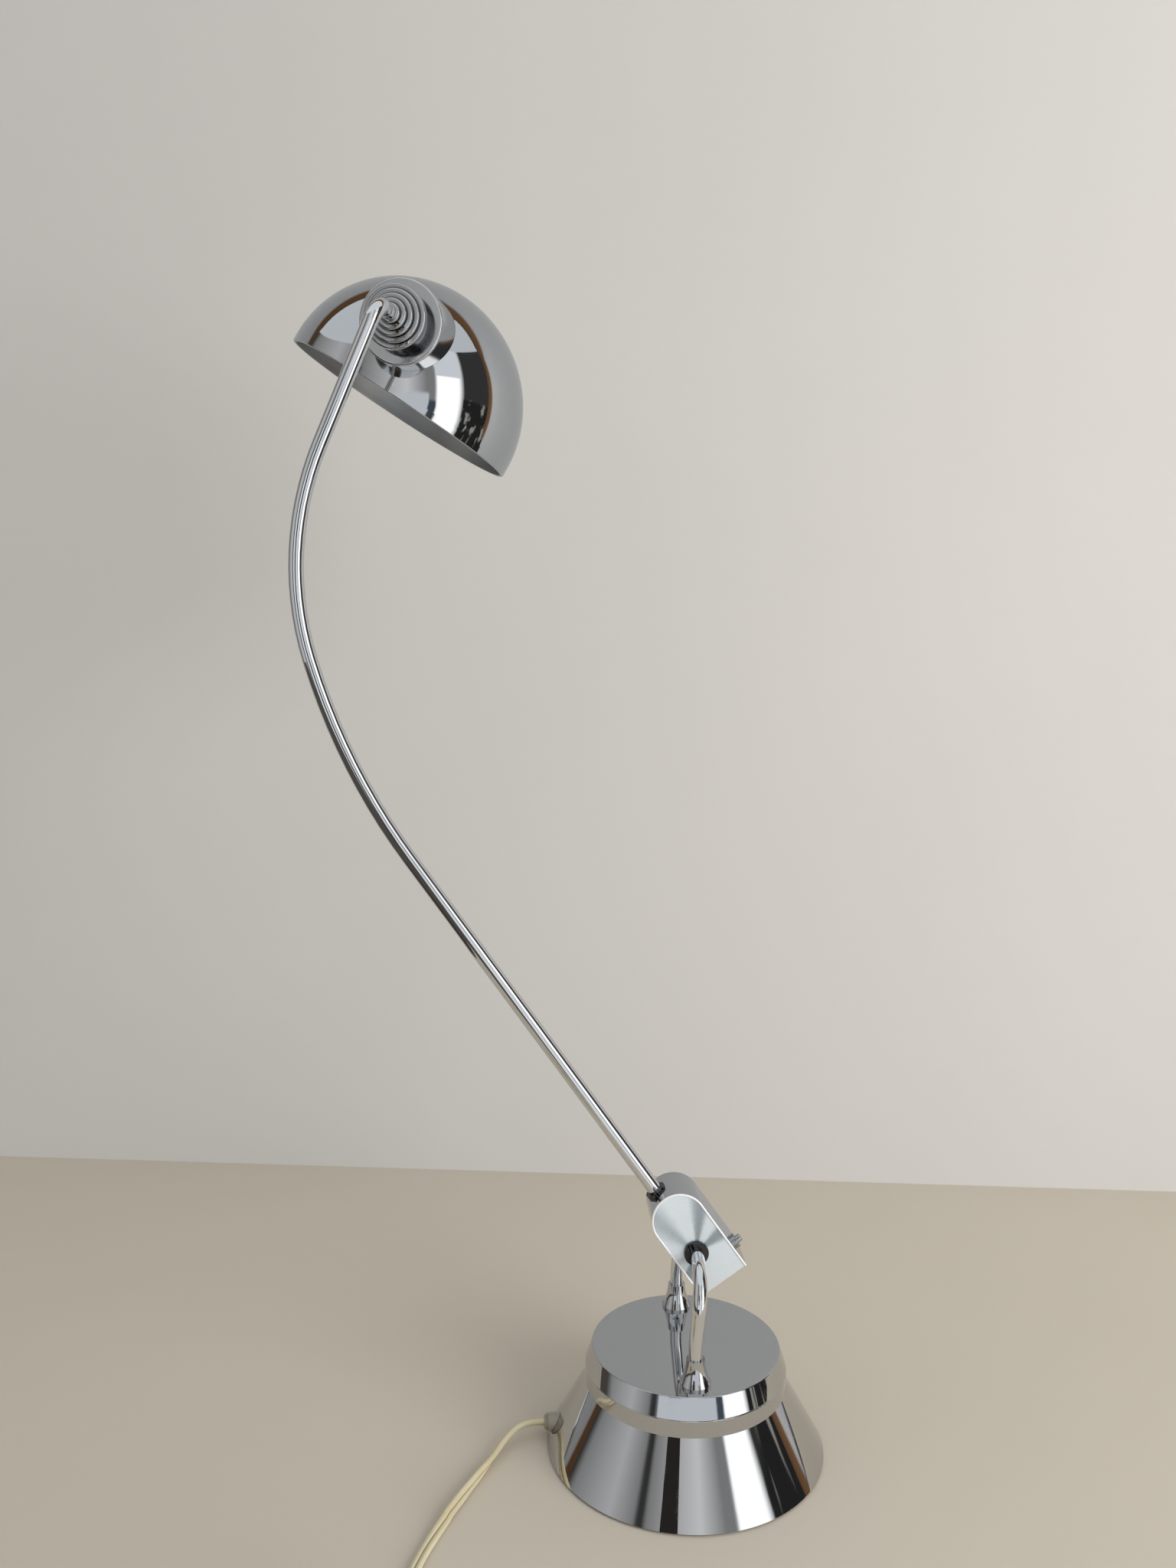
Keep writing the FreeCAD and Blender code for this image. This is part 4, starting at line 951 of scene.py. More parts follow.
class Draft:
    """Vertices, faces and texture coordinates on their way to a mesh, in millimetres."""

    def __init__(self) -> None:
        self.points: list[Vector] = []
        self.faces: list[tuple[int, ...]] = []
        self.uvs: dict[int, tuple[float, float]] = {}

    def ring(self, points: Iterable[Sequence[float]]) -> list[int]:
        """Adds a ring of points.

        Args:
            points: the ring in order.

        Returns:
            Their numbers.
        """
        first = len(self.points)
        self.points.extend(Vector(point) for point in points)
        return list(range(first, len(self.points)))

    def bridge(self, low: Sequence[int], high: Sequence[int]) -> None:
        """Joins two closed rings of equal count, or a ring and a pole given as one repeated number."""
        count = len(low)
        for index in range(count):
            after = (index + 1) % count
            face: list[int] = []
            for number in (low[index], low[after], high[after], high[index]):
                if number not in face:
                    face.append(number)
            if len(face) > 2:
                self.faces.append(tuple(face))

    def cap(self, ring: Sequence[int]) -> None:
        """Closes a ring with triangles about its middle."""
        middle = sum((self.points[number] for number in ring), Vector()) / len(ring)
        pole = self.ring([middle])[0]
        if ring[0] in self.uvs:
            self.uvs[pole] = (0.0, self.uvs[ring[0]][1])
        for index, number in enumerate(ring):
            self.faces.append((number, ring[(index + 1) % len(ring)], pole))

    def loft(self, rings: Sequence[Sequence[int]]) -> None:
        """Joins rings in their order and closes both ends."""
        for low, high in zip(rings, rings[1:]):
            self.bridge(low, high)
        self.cap(rings[0])
        self.cap(rings[-1])

    def lathe(self, profile: Sequence[tuple[float, float]], turns: int = 96, closed: bool = False) -> None:
        """Turns a profile about Z.

        Args:
            profile: (radius, height) points.
            turns: number of segments.
            closed: whether the last point joins the first.
        """
        rings = []
        for radius, height in profile:
            if radius < 1e-6:
                rings.append(self.ring([Vector((0, 0, height))]) * turns)
            else:
                angles = (2 * math.pi * index / turns for index in range(turns))
                around = ((radius * math.cos(a), radius * math.sin(a), height) for a in angles)
                rings.append(self.ring(around))
        for low, high in zip(rings, rings[1:]):
            self.bridge(low, high)
        if closed:
            self.bridge(rings[-1], rings[0])

    def finish(self, name: str, frame: Matrix, material: Material, sharp: float = 35.0) -> Item:
        """Makes the mesh object.

        Args:
            name: the piece's name.
            frame: where it goes, in millimetres.
            material: its finish.
            sharp: angle in degrees from which an edge stays sharp.

        Returns:
            The object, at the origin, with its place in the mesh.
        """
        mesh = bpy.data.meshes.new(name)
        mesh.from_pydata(self.points, [], self.faces)
        mesh.transform(in_metres(frame))
        shell = bmesh.new()
        shell.from_mesh(mesh)
        bmesh.ops.recalc_face_normals(shell, faces=shell.faces)
        shell.to_mesh(mesh)
        shell.free()
        if self.uvs:
            layer = mesh.uv_layers.new(name="Along")
            for loop in mesh.loops:
                layer.data[loop.index].uv = self.uvs.get(loop.vertex_index, (0.0, 0.0))
        mesh.polygons.foreach_set("use_smooth", [True] * len(mesh.polygons))
        mesh.set_sharp_from_angle(angle=math.radians(sharp))
        mesh.materials.append(material)
        made = bpy.data.objects.new(name, mesh)
        bpy.context.scene.collection.objects.link(made)
        log.info("piece %s: %d faces", name, len(mesh.polygons))
        return made


def rounded(points: Sequence[tuple[float, float, float]], steps: int = 4) -> list[tuple[float, float]]:
    """Rounds the corners of an open profile.

    Args:
        points: radius, height and rounding of each corner.
        steps: pieces of each rounding.

    Returns:
        The profile with its corners rounded.
    """
    result: list[tuple[float, float]] = []
    for index, (x, y, radius) in enumerate(points):
        here = Vector((x, y))
        if radius <= 0 or index in (0, len(points) - 1):
            result.append((x, y))
            continue
        back = (Vector(points[index - 1][:2]) - here).normalized()
        ahead = (Vector(points[index + 1][:2]) - here).normalized()
        half = back.angle(ahead) / 2
        reach = radius / math.tan(half)
        for step in range(steps + 1):
            share = step / steps
            start, end = here + back * reach, here + ahead * reach
            bend = start.lerp(here, share).lerp(here.lerp(end, share), share)
            result.append((bend.x, bend.y))
    return result


def smoothstep(value: float) -> float:
    """Eases a value from 0 to 1."""
    value = min(1.0, max(0.0, value))
    return value * value * (3 - 2 * value)


def ahead_at(line: Sequence[Vector], index: int) -> Vector:
    """Direction of a line of points at one of them."""
    return (line[min(index + 1, len(line) - 1)] - line[max(index - 1, 0)]).normalized()


def place(piece: Item, body: str, slot: str, *nodes: str) -> Item:
    """Rides a piece on its body and hides the CAD nodes it stands for."""
    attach(piece, body)
    if nodes:
        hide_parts(*nodes)
    return piece


def weigh_normals(piece: Item) -> Item:
    """Lets the large flats keep their own normals beside narrow roundings."""
    modifier = piece.modifiers.new("flat_normals", "WEIGHTED_NORMAL")
    modifier.keep_sharp = True
    modifier.weight = 80
    return piece


# Foot


@dataclass
class Lid:
    """Chrome lid of the foot: a flat mirror with a steep bevel, softly rounded where they meet."""

    material: Material
    lower_radius: float = 56.7
    upper_radius: float = 52.9
    height: float = 10.7
    wall: float = 1.4
    shoulder: float = 0.8
    ring_radius: float = 52.4
    ring_depth: float = 1.5

    def build(self) -> Item:
        """Makes the lid in place of the CAD's."""
        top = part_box("base_cap")[1][2] / MM
        low, under, inner = top - self.height, top - self.wall, self.ring_radius - self.wall
        profile = rounded((
            (0.0, top, 0.0), (self.upper_radius, top, self.shoulder), (self.lower_radius, low, 0.15),
            (self.ring_radius, low, 0.0), (self.ring_radius, low - self.ring_depth, 0.0),
            (inner, low - self.ring_depth, 0.0), (inner, low + self.ring_depth, 0.0),
            (self.upper_radius - 2 * self.wall, under, 0.0), (0.0, under, 0.0),
        ))
        draft = Draft()
        draft.lathe(profile, turns=160)
        piece = weigh_normals(draft.finish("foot_lid", Matrix.Identity(4), self.material, 60.0))
        return place(piece, "base", "chrome", "base_cap")


# Hinge case


@dataclass
class HingeStrip:
    """Bright strip bent round the case, its long edges rounded over as rolled strip is."""

    material: Material
    radius: float = 15.4
    reach: float = 20.3
    tail: float = 22.4
    offset: float = 3.0
    width: float = 30.8
    wall: float = 1.2
    edge: float = 0.59
    steps: int = 56

    def route(self) -> list[tuple[Vector, Vector]]:
        """Points of the strip's middle line with their outward directions, in the case's frame."""
        middle = self.radius - self.wall / 2
        length = self.tail + self.reach

        def straight(side: int, shares: Sequence[float]) -> list[tuple[Vector, Vector]]:
            """One straight side, at shares of its length from the open end."""
            x = self.offset + side * middle
            return [(Vector((x, 0, -self.tail + share * length)), Vector((side, 0, 0))) for share in shares]

        points = straight(-1, (0.0, 0.33, 0.66))
        for step in range(self.steps + 1):
            angle = math.pi * step / self.steps
            outward = Vector((-math.cos(angle), 0, math.sin(angle)))
            points.append((Vector((self.offset, 0, self.reach)) + outward * middle, outward))
        return points + straight(1, (0.66, 0.33, 0.0))

    def section(self) -> list[tuple[float, float]]:
        """Rounded outline (across, outward) of the strip."""
        points = []
        half, thick, steps = self.width / 2, self.wall / 2, 5
        for sx, sy, first in ((1, 1, 0), (-1, 1, 90), (-1, -1, 180), (1, -1, 270)):
            for step in range(steps + 1):
                angle = math.radians(first + 90 * step / steps)
                x = sx * (half - self.edge) + self.edge * math.cos(angle)
                y = sy * (thick - self.edge) + self.edge * math.sin(angle)
                points.append((x, y))
        return points

    def build(self) -> Item:
        """Makes the strip in place of the CAD's."""
        draft = Draft()
        outline = self.section()
        rings = [
            draft.ring(spot + Vector((0, y, 0)) + outward * out for y, out in outline)
            for spot, outward in self.route()
        ]
        draft.loft(rings)
        piece = weigh_normals(draft.finish("case_strip", hinge_frame(), self.material, 60.0))
        return place(piece, "hinge_case", "chrome", "hinge_strip")


# Repeated parts


class Repeater:
    """Geometry Nodes trees that lay out copies of one form and end as plain meshes."""

    def __init__(self) -> None:
        self.rings = self.ring_tree()
        self.bars = self.bar_tree()

    def start(self, name: str, inputs: Sockets) -> tuple[Tree, Graph, Node, Socket]:
        """A geometry tree with a row of points.

        Args:
            name: the tree's name.
            inputs: its own inputs beside those of every row.

        Returns:
            The tree, its graph, its input node and the points.
        """
        tree = bpy.data.node_groups.new(name, "GeometryNodeTree")
        tree.interface.new_socket(name="Geometry", in_out="INPUT", socket_type="NodeSocketGeometry")
        add_inputs(tree, {"Count": whole(5), "Start": VECTOR, "Step": VECTOR, "Seed": whole(1), **inputs})
        add_inputs(tree, {"Material": ("NodeSocketMaterial", None)})
        tree.interface.new_socket(name="Geometry", in_out="OUTPUT", socket_type="NodeSocketGeometry")
        g = Graph(tree)
        given = g.node("NodeGroupInput")
        values = given.outputs
        row = {"Count": values["Count"], "Start Location": values["Start"], "Offset": values["Step"]}
        points = g.node("GeometryNodeMeshLine", row, mode="OFFSET").outputs[0]
        return tree, g, given, points

    def uneven(self, g: Graph, given: Node, least: float) -> Socket:
        """Seeded size of each copy, from the least up to one."""
        drawn = g.node("FunctionNodeRandomValue", {"Seed": given.outputs["Seed"]}, data_type="FLOAT")
        drawn.inputs[2].default_value = least
        drawn.inputs[3].default_value = 1.0
        return drawn.outputs[1]

    def close(self, g: Graph, given: Node, points: Socket, form: Socket, scale: Value, spin: Point) -> None:
        """Copies a form onto points, realises it and gives it its material.

        Args:
            g: the tree's graph.
            given: its input node.
            points: where the copies go.
            form: what is copied.
            scale: size of each copy.
            spin: turn of each copy, in radians.
        """
        inputs = {"Points": points, "Instance": form, "Scale": scale, "Rotation": spin}
        copies = g.node("GeometryNodeInstanceOnPoints", inputs)
        real = g.node("GeometryNodeRealizeInstances", {"Geometry": copies.outputs[0]})
        smooth = g.node("GeometryNodeSetShadeSmooth", {"Geometry": real.outputs[0]})
        paint = {"Geometry": smooth.outputs[0], "Material": given.outputs["Material"]}
        g.node("NodeGroupOutput", {0: g.node("GeometryNodeSetMaterial", paint).outputs[0]})

    def ring_tree(self) -> Tree:
        """Round beads along Z, shrinking from the first to the last, with a little seeded unevenness."""
        radii = {"First Radius": number(0.01), "Last Radius": number(0.01), "Bead": number(0.0005)}
        tree, g, given, points = self.start("RingStack", radii)
        values = given.outputs
        circle, bead = (
            g.node("GeometryNodeCurvePrimitiveCircle", {"Resolution": points_round, "Radius": values[label]})
            for points_round, label in ((72, "First Radius"), (10, "Bead"))
        )
        form = g.node("GeometryNodeCurveToMesh", {"Curve": circle.outputs[0], "Profile Curve": bead.outputs[0]})
        index = g.node("GeometryNodeInputIndex").outputs[0]
        last = g.math("MAXIMUM", g.minus(values["Count"], 1.0), 1.0)
        ratio = g.math("DIVIDE", values["Last Radius"], values["First Radius"])
        shrink = g.plus(1.0, g.times(g.math("DIVIDE", index, last), g.minus(ratio, 1.0)))
        across = g.times(shrink, self.uneven(g, given, 0.998))
        scale = g.node("ShaderNodeCombineXYZ", {0: across, 1: across, 2: 1.0}).outputs[0]
        self.close(g, given, points, form.outputs[0], scale, (0.0, 0.0, 0.0))
        return tree

    def bar_tree(self) -> Tree:
        """Half-round bars side by side."""
        tree, g, given, points = self.start("BarRow", {"Length": number(0.02), "Radius": number(0.0006)})
        values = given.outputs
        size = {"Vertices": 20, "Radius": values["Radius"], "Depth": values["Length"]}
        bar = g.node("GeometryNodeMeshCylinder", size, fill_type="TRIANGLE_FAN")
        parts = {0: 1.0, 1: 1.0, 2: self.uneven(g, given, 0.985)}
        scale = g.node("ShaderNodeCombineXYZ", parts).outputs[0]
        self.close(g, given, points, bar.outputs[0], scale, (math.pi / 2, 0.0, 0.0))
        return tree

    def run(self, name: str, tree: Tree, frame: Matrix, **inputs: object) -> Item:
        """Runs a tree once and keeps its result as a plain mesh.

        Args:
            name: the piece's name.
            tree: the geometry tree.
            frame: where the result goes, in metres.
            inputs: values by input name, with spaces written as underscores.

        Returns:
            The new piece.
        """
        host = bpy.data.objects.new(name, bpy.data.meshes.new(name + "_host"))
        bpy.context.scene.collection.objects.link(host)
        modifier = host.modifiers.new("repeat", "NODES")
        modifier.node_group = tree
        for item in tree.interface.items_tree:
            label = item.name.replace(" ", "_").lower()
            if item.item_type == "SOCKET" and item.in_out == "INPUT" and label in inputs:
                modifier[item.identifier] = inputs[label]
        bpy.context.view_layer.update()
        shape = host.evaluated_get(bpy.context.evaluated_depsgraph_get())
        mesh = bpy.data.meshes.new_from_object(shape)
        mesh.transform(frame)
        mesh.name = name
        host.modifiers.remove(modifier)
        host.data = mesh
        log.info("piece %s: %d faces", name, len(mesh.polygons))
        return host


# Cord set


class Section:
    """Outline of a flat twin cord: two round halves joined by a thin web."""

    def __init__(self, width: float, thickness: float) -> None:
        """Args:
            width: across both halves.
            thickness: of one half.
        """
        self.radius = thickness / 2
        self.offset = width / 2 - self.radius
        self.half = width / 2
        self.points = self.outline()

    def outline(self) -> list[tuple[float, float]]:
        """Points (across, through) once round, dipping to the web between the halves."""
        open_angle = math.radians(48)
        steps = 11
        right = []
        for index in range(steps + 1):
            angle = -math.pi + open_angle + (2 * math.pi - 2 * open_angle) * index / steps
            right.append((self.offset + self.radius * math.cos(angle), self.radius * math.sin(angle)))
        web = self.radius * 0.42
        left = [(-x, -y) for x, y in right]
        return right + [(0.0, web)] + left + [(0.0, -web)]


class Cord:
    """Flat twin cord from the foot through its coil to the plug."""

    lead: tuple[Point, ...] = (
        (-0.0800, 0.0080, 0.0080), (-0.0890, 0.0080, 0.0080), (-0.0960, 0.0046, 0.0069),
        (-0.1018, -0.0016, 0.0052), (-0.1070, -0.0110, 0.0038), (-0.1120, -0.0220, 0.0031),
        (-0.1230, -0.0436, 0.0031), (-0.1355, -0.0695, 0.0031), (-0.1446, -0.0949, 0.0031),
        (-0.1490, -0.1180, 0.0034), (-0.1500, -0.1395, 0.0042), (-0.1500, -0.1590, 0.0042),
    )
    tail: tuple[Point, ...] = (
        (-0.2025, -0.2115, 0.0107), (-0.2175, -0.2115, 0.0107), (-0.2335, -0.2103, 0.0088),
        (-0.2485, -0.2111, 0.0070), (-0.2625, -0.2111, 0.0070),
    )
    length = 1.7239
    inward = 6
    outward = 5
    half_turn_points = 8
    twist = (
        (0.0, -48.0), (0.035, -44.0), (0.062, 10.0), (0.078, 34.0), (0.118, 90.0),
        (0.158, 90.0), (0.190, 0.0), (1.664, 0.0), (1.715, 90.0),
    )
    coil_entry = (-150.0, -165.0)
    first_stretch = 1.0
    laid_flat = (0.09, 0.19)
    round_height = 3.1
    flat_height = 1.4

    def __init__(self, material: Material) -> None:
        """Args:
            material: the cord's finish.
        """
        self.material = material
        self.section = Section(SIZES.cord_width, SIZES.cord_thickness)

    def coil_points(self) -> list[Point]:
        """Control points of the coil: in on the lower layer, up in one half turn, out above."""
        step = SIZES.coil_pitch / 2
        inward = [SIZES.coil_radius - step * index for index in range(self.inward)]
        tight = SIZES.coil_radius - step * self.inward
        outward = [tight + step * (index + 1) for index in range(self.outward)]
        slice_angle = math.pi / self.half_turn_points
        here = Vector((*self.coil_entry, SIZES.coil_height))
        side = -1
        points: list[Point] = []
        for radius in inward + [tight] + outward + [SIZES.coil_radius]:
            centre = here + Vector((side * radius, 0, 0))
            reach = radius / math.cos(slice_angle / 2)
            last = len(points) > 0 and radius == SIZES.coil_radius
            for index in range(self.half_turn_points // 2 if last else self.half_turn_points):
                angle = slice_angle * (index + 0.5)
                rise = smoothstep(angle / math.pi) * SIZES.coil_layer if radius == tight else 0.0
                spot = centre + Vector((-side * reach * math.cos(angle), side * reach * math.sin(angle), rise))
                points.append(tuple(spot * MM))
            here = centre + Vector((side * radius, 0, SIZES.coil_layer if radius == tight else 0.0))
            side = -side
        return points

    def centreline(self) -> list[Vector]:
        """Points of the route's NURBS spline, in metres."""
        route = [*self.lead, *self.coil_points(), *self.tail]
        scene = bpy.context.scene.collection
        data = bpy.data.curves.new("cord_route", "CURVE")
        data.dimensions = "3D"
        data.resolution_u = 8
        spline = data.splines.new("NURBS")
        spline.points.add(len(route) - 1)
        for point, spot in zip(spline.points, route):
            point.co = (*spot, 1.0)
        spline.order_u = 3
        spline.use_endpoint_u = True
        holder = bpy.data.objects.new("cord_route", data)
        scene.objects.link(holder)
        bpy.context.view_layer.update()
        mesh = bpy.data.meshes.new_from_object(holder.evaluated_get(bpy.context.evaluated_depsgraph_get()))
        line = [vertex.co.copy() for vertex in mesh.vertices]
        bpy.data.objects.remove(holder)
        bpy.data.curves.remove(data)
        bpy.data.meshes.remove(mesh)
        return line

    def roll_at(self, travelled: float) -> float:
        """Turn of the cord's width from upright, in radians, after a travelled length."""
        before = self.twist[0]
        for stop in self.twist[1:]:
            if travelled < stop[0]:
                share = smoothstep((travelled - before[0]) / (stop[0] - before[0]))
                return math.radians(before[1] + (stop[1] - before[1]) * share)
            before = stop
        return math.radians(before[1])

    def build(self) -> tuple[Item, list[Vector]]:
        """Sweeps the section along the spline.

        Returns:
            The cord and its centreline in metres.
        """
        line = self.centreline()
        draft = Draft()
        rings: list[list[int]] = []
        travelled = 0.0
        for index, spot in enumerate(line):
            if index:
                travelled += (spot - line[index - 1]).length
            ahead = ahead_at(line, index)
            upright = (Vector((0, 0, 1)) - ahead * ahead.z).normalized()
            level = ahead.cross(upright)
            roll = self.roll_at(travelled)
            across = upright * math.cos(roll) + level * math.sin(roll)
            through = ahead.cross(across)
            flat = abs(math.sin(roll)) if travelled < self.first_stretch else 0.0
            settle = Vector()
            if self.laid_flat[0] < travelled < self.laid_flat[1]:
                settle.z = -(spot.z / MM - self.round_height + self.flat_height) * flat ** 2
            ring = draft.ring(spot / MM + settle + across * u + through * v for u, v in self.section.points)
            for number, (u, _) in zip(ring, self.section.points):
                draft.uvs[number] = (u / self.section.half, travelled)
            rings.append(ring)
        draft.loft(rings)
        log.info("cord: %d points, %.4f m", len(line), travelled)
        return draft.finish("flex_cord", Matrix(), self.material, 50.0), line


def cord_material(library: FinishLibrary) -> Material:
    """Clear yellowed vinyl over two bundles of copper strands.

    Args:
        library: gives the shared groups and the bare material.

    Returns:
        The cord's material.
    """
    material, g, surface = library.start("clear_twin_cord")
    where = g.place()
    along = g.node("ShaderNodeUVMap", uv_map="Along").outputs[0]
    flow = g.group(library.effects.conductors, UV=along).outputs
    worn = g.group(library.effects.handled, Vector=where).outputs
    clouds = g.remap(g.noise(where, 45.0, 3.0), 0.35, 0.7)
    vinyl = g.mix(clouds, (0.66, 0.60, 0.41, 1.0), (0.60, 0.52, 0.32, 1.0))
    copper = g.mix(flow["Strand"], (0.50, 0.36, 0.20, 1.0), (0.72, 0.60, 0.40, 1.0))
    cored = g.mix(g.times(flow["Core"], 0.45), vinyl, copper)
    # painted shade: the web between the two halves darkened towards brown
    grooved = g.mix(g.times(flow["Groove"], 0.55), cored, (0.20, 0.16, 0.08, 1.0))
    g.feed(surface.inputs["Base Color"], grooved)
    g.feed(surface.inputs["Roughness"], g.plus(worn["Roughness"], 0.16, clamp=True))
    surface.inputs["Coat Weight"].default_value = 0.35
    surface.inputs["Coat Roughness"].default_value = 0.10
    g.bump(surface, 0.4, g.plus(g.times(flow["Strand"], 0.12), g.times(worn["Height"], 0.05)))
    return material


@dataclass
class CordSet:
    """Cord with its plug, the plug's grip bars and bead rings on the strain relief, all on the foot."""

    library: FinishLibrary
    repeater: Repeater

    def build(self, nodes: dict[str, Item]) -> None:
        """Makes the cord first, then what goes on it.

        Args:
            nodes: the CAD nodes by name; not used.
        """
        cord, line = Cord(cord_material(self.library)).build()
        place(cord, "base", "cord", "cord_lead", "cord_coil", "cord_tail")
        plug = self.plug()
        ribs = self.grip()
        self.relief_rings()

    def plug(self) -> Item:
        """Flat moulded plug with soft corners and a waisted neck."""
        stations = (
            (0.0, 6.6, 4.6, 2.4), (1.0, 7.4, 5.4, 2.8), (6.0, 9.2, 6.2, 3.2),
            (13.0, 12.4, 6.85, 3.6), (20.0, 15.6, 6.95, 3.8), (25.0, 17.2, 6.95, 3.8),
            (30.0, 17.3, 6.95, 3.6), (33.0, 16.6, 6.7, 3.2), (34.0, 15.4, 5.8, 2.6),
        )
        draft = Draft()
        rings = []
        tip = Vector(Cord.tail[-1]) / MM
        for along, half_width, half_height, corner in stations:
            ring = []
            for sx, sy in ((1, 1), (-1, 1), (-1, -1), (1, -1)):
                for step in range(7):
                    angle = math.radians(15 * step)
                    a, b = math.cos(angle), math.sin(angle)
                    if sx * sy < 0:
                        a, b = b, a
                    y = sx * (half_width - corner + corner * a)
                    z = sy * (half_height - corner + corner * b)
                    ring.append(Vector((tip.x - along, tip.y + y, SIZES.plug_thickness / 2 + z)))
            rings.append(draft.ring(ring))
        draft.loft(rings)
        piece = draft.finish("plug_shell", Matrix(), self.library.get(PLUG_VINYL), 60.0)
        return place(piece, "base", "plug", "plug_body")

    def grip(self) -> Item:
        """Row of grip bars across the plug's upper face."""
        tip = Vector(Cord.tail[-1])
        start = (tip.x - 0.011, tip.y, SIZES.plug_thickness * MM - 0.0006)
        piece = self.repeater.run(
            "plug_grip", self.repeater.bars, Matrix(), count=6, start=start, step=(-0.0026, 0.0, 0.0),
            length=0.017, radius=0.00055, seed=3, material=self.library.get(PLUG_VINYL),
        )
        return place(piece, "base", "plug")

    def relief_rings(self) -> None:
        """Bead rings round the strain relief's taper."""
        seat = Matrix.Translation((0.0, SIZES.relief_y * MM, SIZES.relief_z * MM))
        axis = seat @ Matrix.Rotation(-math.pi / 2, 4, "Y")
        piece = self.repeater.run(
            "relief_rings", self.repeater.rings, axis, count=2,
            start=(0.0, 0.0, 0.0783), step=(0.0, 0.0, 0.0010), first_radius=0.0046, last_radius=0.0039,
            bead=0.0003, seed=5, material=self.library.get(SMOKED_VINYL),
        )
        place(piece, "base", "cord")


# Bulb


@dataclass
class BulbDetails:
    """Screw thread and filament, finer than the CAD's."""

    library: FinishLibrary
    repeater: Repeater

    def build(self) -> None:
        """Makes the cap with its thread and the filament."""
        self.cap()
        self.thread()
        self.filament()

    def axis(self) -> Matrix:
        """Frame with the swivel axis along Z, in millimetres."""
        return head_frame() @ turn(-90, "X")

    def cap(self) -> None:
        """Rolled cap with a rounded lower edge, the CAD's own outline."""
        low = SIZES.bulb_cap_start + 1.2
        high = SIZES.bulb_cap_start + SIZES.bulb_cap_length
        outer, inner = SIZES.bulb_cap_radius - 0.35, SIZES.bulb_cap_radius - 0.7
        seat = 10.45
        draft = Draft()
        profile = rounded([
            (seat, low + 1.0, 0), (seat, low, 0.1), (seat + 0.7, low, 0.2), (outer, low + 2.4, 0.8),
            (outer, high, 0.15), (inner, high, 0.15), (inner, low + 2.8, 0.5), (seat, low + 1.0, 0),
        ])
        draft.lathe(profile[:-1], 96, True)
        piece = draft.finish("bulb_screw_cap", self.axis(), self.library.get(CAP_METAL))
        place(piece, "head", "cap_metal", "bulb_cap")

    def thread(self) -> None:
        """Rolled thread of the cap."""
        start = (SIZES.bulb_cap_start + 6.0) * MM
        radius = (SIZES.bulb_cap_radius - 0.35) * MM
        frame = Matrix.Scale(MM, 4) @ self.axis() @ Matrix.Scale(1 / MM, 4)
        piece = self.repeater.run(
            "bulb_thread", self.repeater.rings, frame, count=5,
            start=(0.0, 0.0, start), step=(0.0, 0.0, 0.0034), first_radius=radius, last_radius=radius,
            bead=0.0006, seed=11, material=self.library.get(CAP_METAL),
        )
        place(piece, "head", "cap_metal")

    def filament(self) -> None:
        """Two support wires and a coiled filament between them."""
        foot, high, half = SIZES.filament_foot, SIZES.filament_foot + SIZES.filament_rise, SIZES.filament_half
        route = [Vector((-2.4, 0, foot - 0.4)), Vector((-half, 0, high))]
        turns, steps = 16, 14
        for index in range(turns * steps + 1):
            angle = 2 * math.pi * index / steps
            reach = 0.42 * smoothstep(min(index, turns * steps - index) / 10)
            x = -half + 2 * half * index / (turns * steps)
            route.append(Vector((x, reach * math.sin(angle), high + reach * math.cos(angle))))
        route.append(Vector((2.4, 0, foot - 0.4)))
        draft = Draft()
        rings = []
        for index, spot in enumerate(route):
            ahead = ahead_at(route, index)
            side = ahead.cross(Vector((0, 1, 0))).normalized()
            other = ahead.cross(side)
            circle = [(math.cos(math.pi * step / 4), math.sin(math.pi * step / 4)) for step in range(8)]
            rings.append(draft.ring(spot + (side * a + other * b) * 0.14 for a, b in circle))
        draft.loft(rings)
        piece = draft.finish("bulb_wires", self.axis(), self.library.get(TUNGSTEN), 80.0)
        place(piece, "head", "tungsten", "bulb_filament")


# CAD nodes shown as they are


NODE_FINISHES: dict[Finish, tuple[str, ...]] = {
    CUP_CHROME: ("holder_cup",),
    # painted shade: pivot bushes and arm ring get the near-black nickel
    PAINTED_SHADE_NICKEL: ("pivot_bush_front", "pivot_bush_rear", "arm_ring"),
    CHROME: ("base_cover", "post_ferrules", "switch_button"),
    TUBE_CHROME: ("arm_tube", "post_front", "post_rear"),
    SATIN_CHROME: ("hinge_end_plate",),
    POLISHED: ("switch_collar",),
    ZINC: (
        "base_plate", "plate_screws", "centre_bolt", "terminal_screws", "post_washers", "post_nuts",
        "pivot_clips", "pivot_washers", "arm_socket", "arm_nut", "arm_washer",
        "swivel_nipple", "swivel_washer", "swivel_nut", "holder_bracket",
    ),
    CASTING: ("ballast",),
    BRASS: ("lampholder_sleeve", "lampholder_contact", "plug_pins"),
    SOLDER: ("bulb_contact",),
    DARK_PLASTIC: ("switch_body",),
    HOLDER_PLASTIC: ("lampholder_body",),
    NYLON: ("terminal_block",),
    FIBRE: ("friction_washer",),
    FOAM: ("base_pad",),
    SMOKED_VINYL: ("cord_relief",),
    RELIEF_VINYL: ("inner_cord", "arm_lead"),
    STRAP: ("coil_tie",),
    FROSTED: ("bulb_glass",),
    STEM_GLASS: ("bulb_stem",),
    BLACK_GLASS: ("bulb_seal",),
}


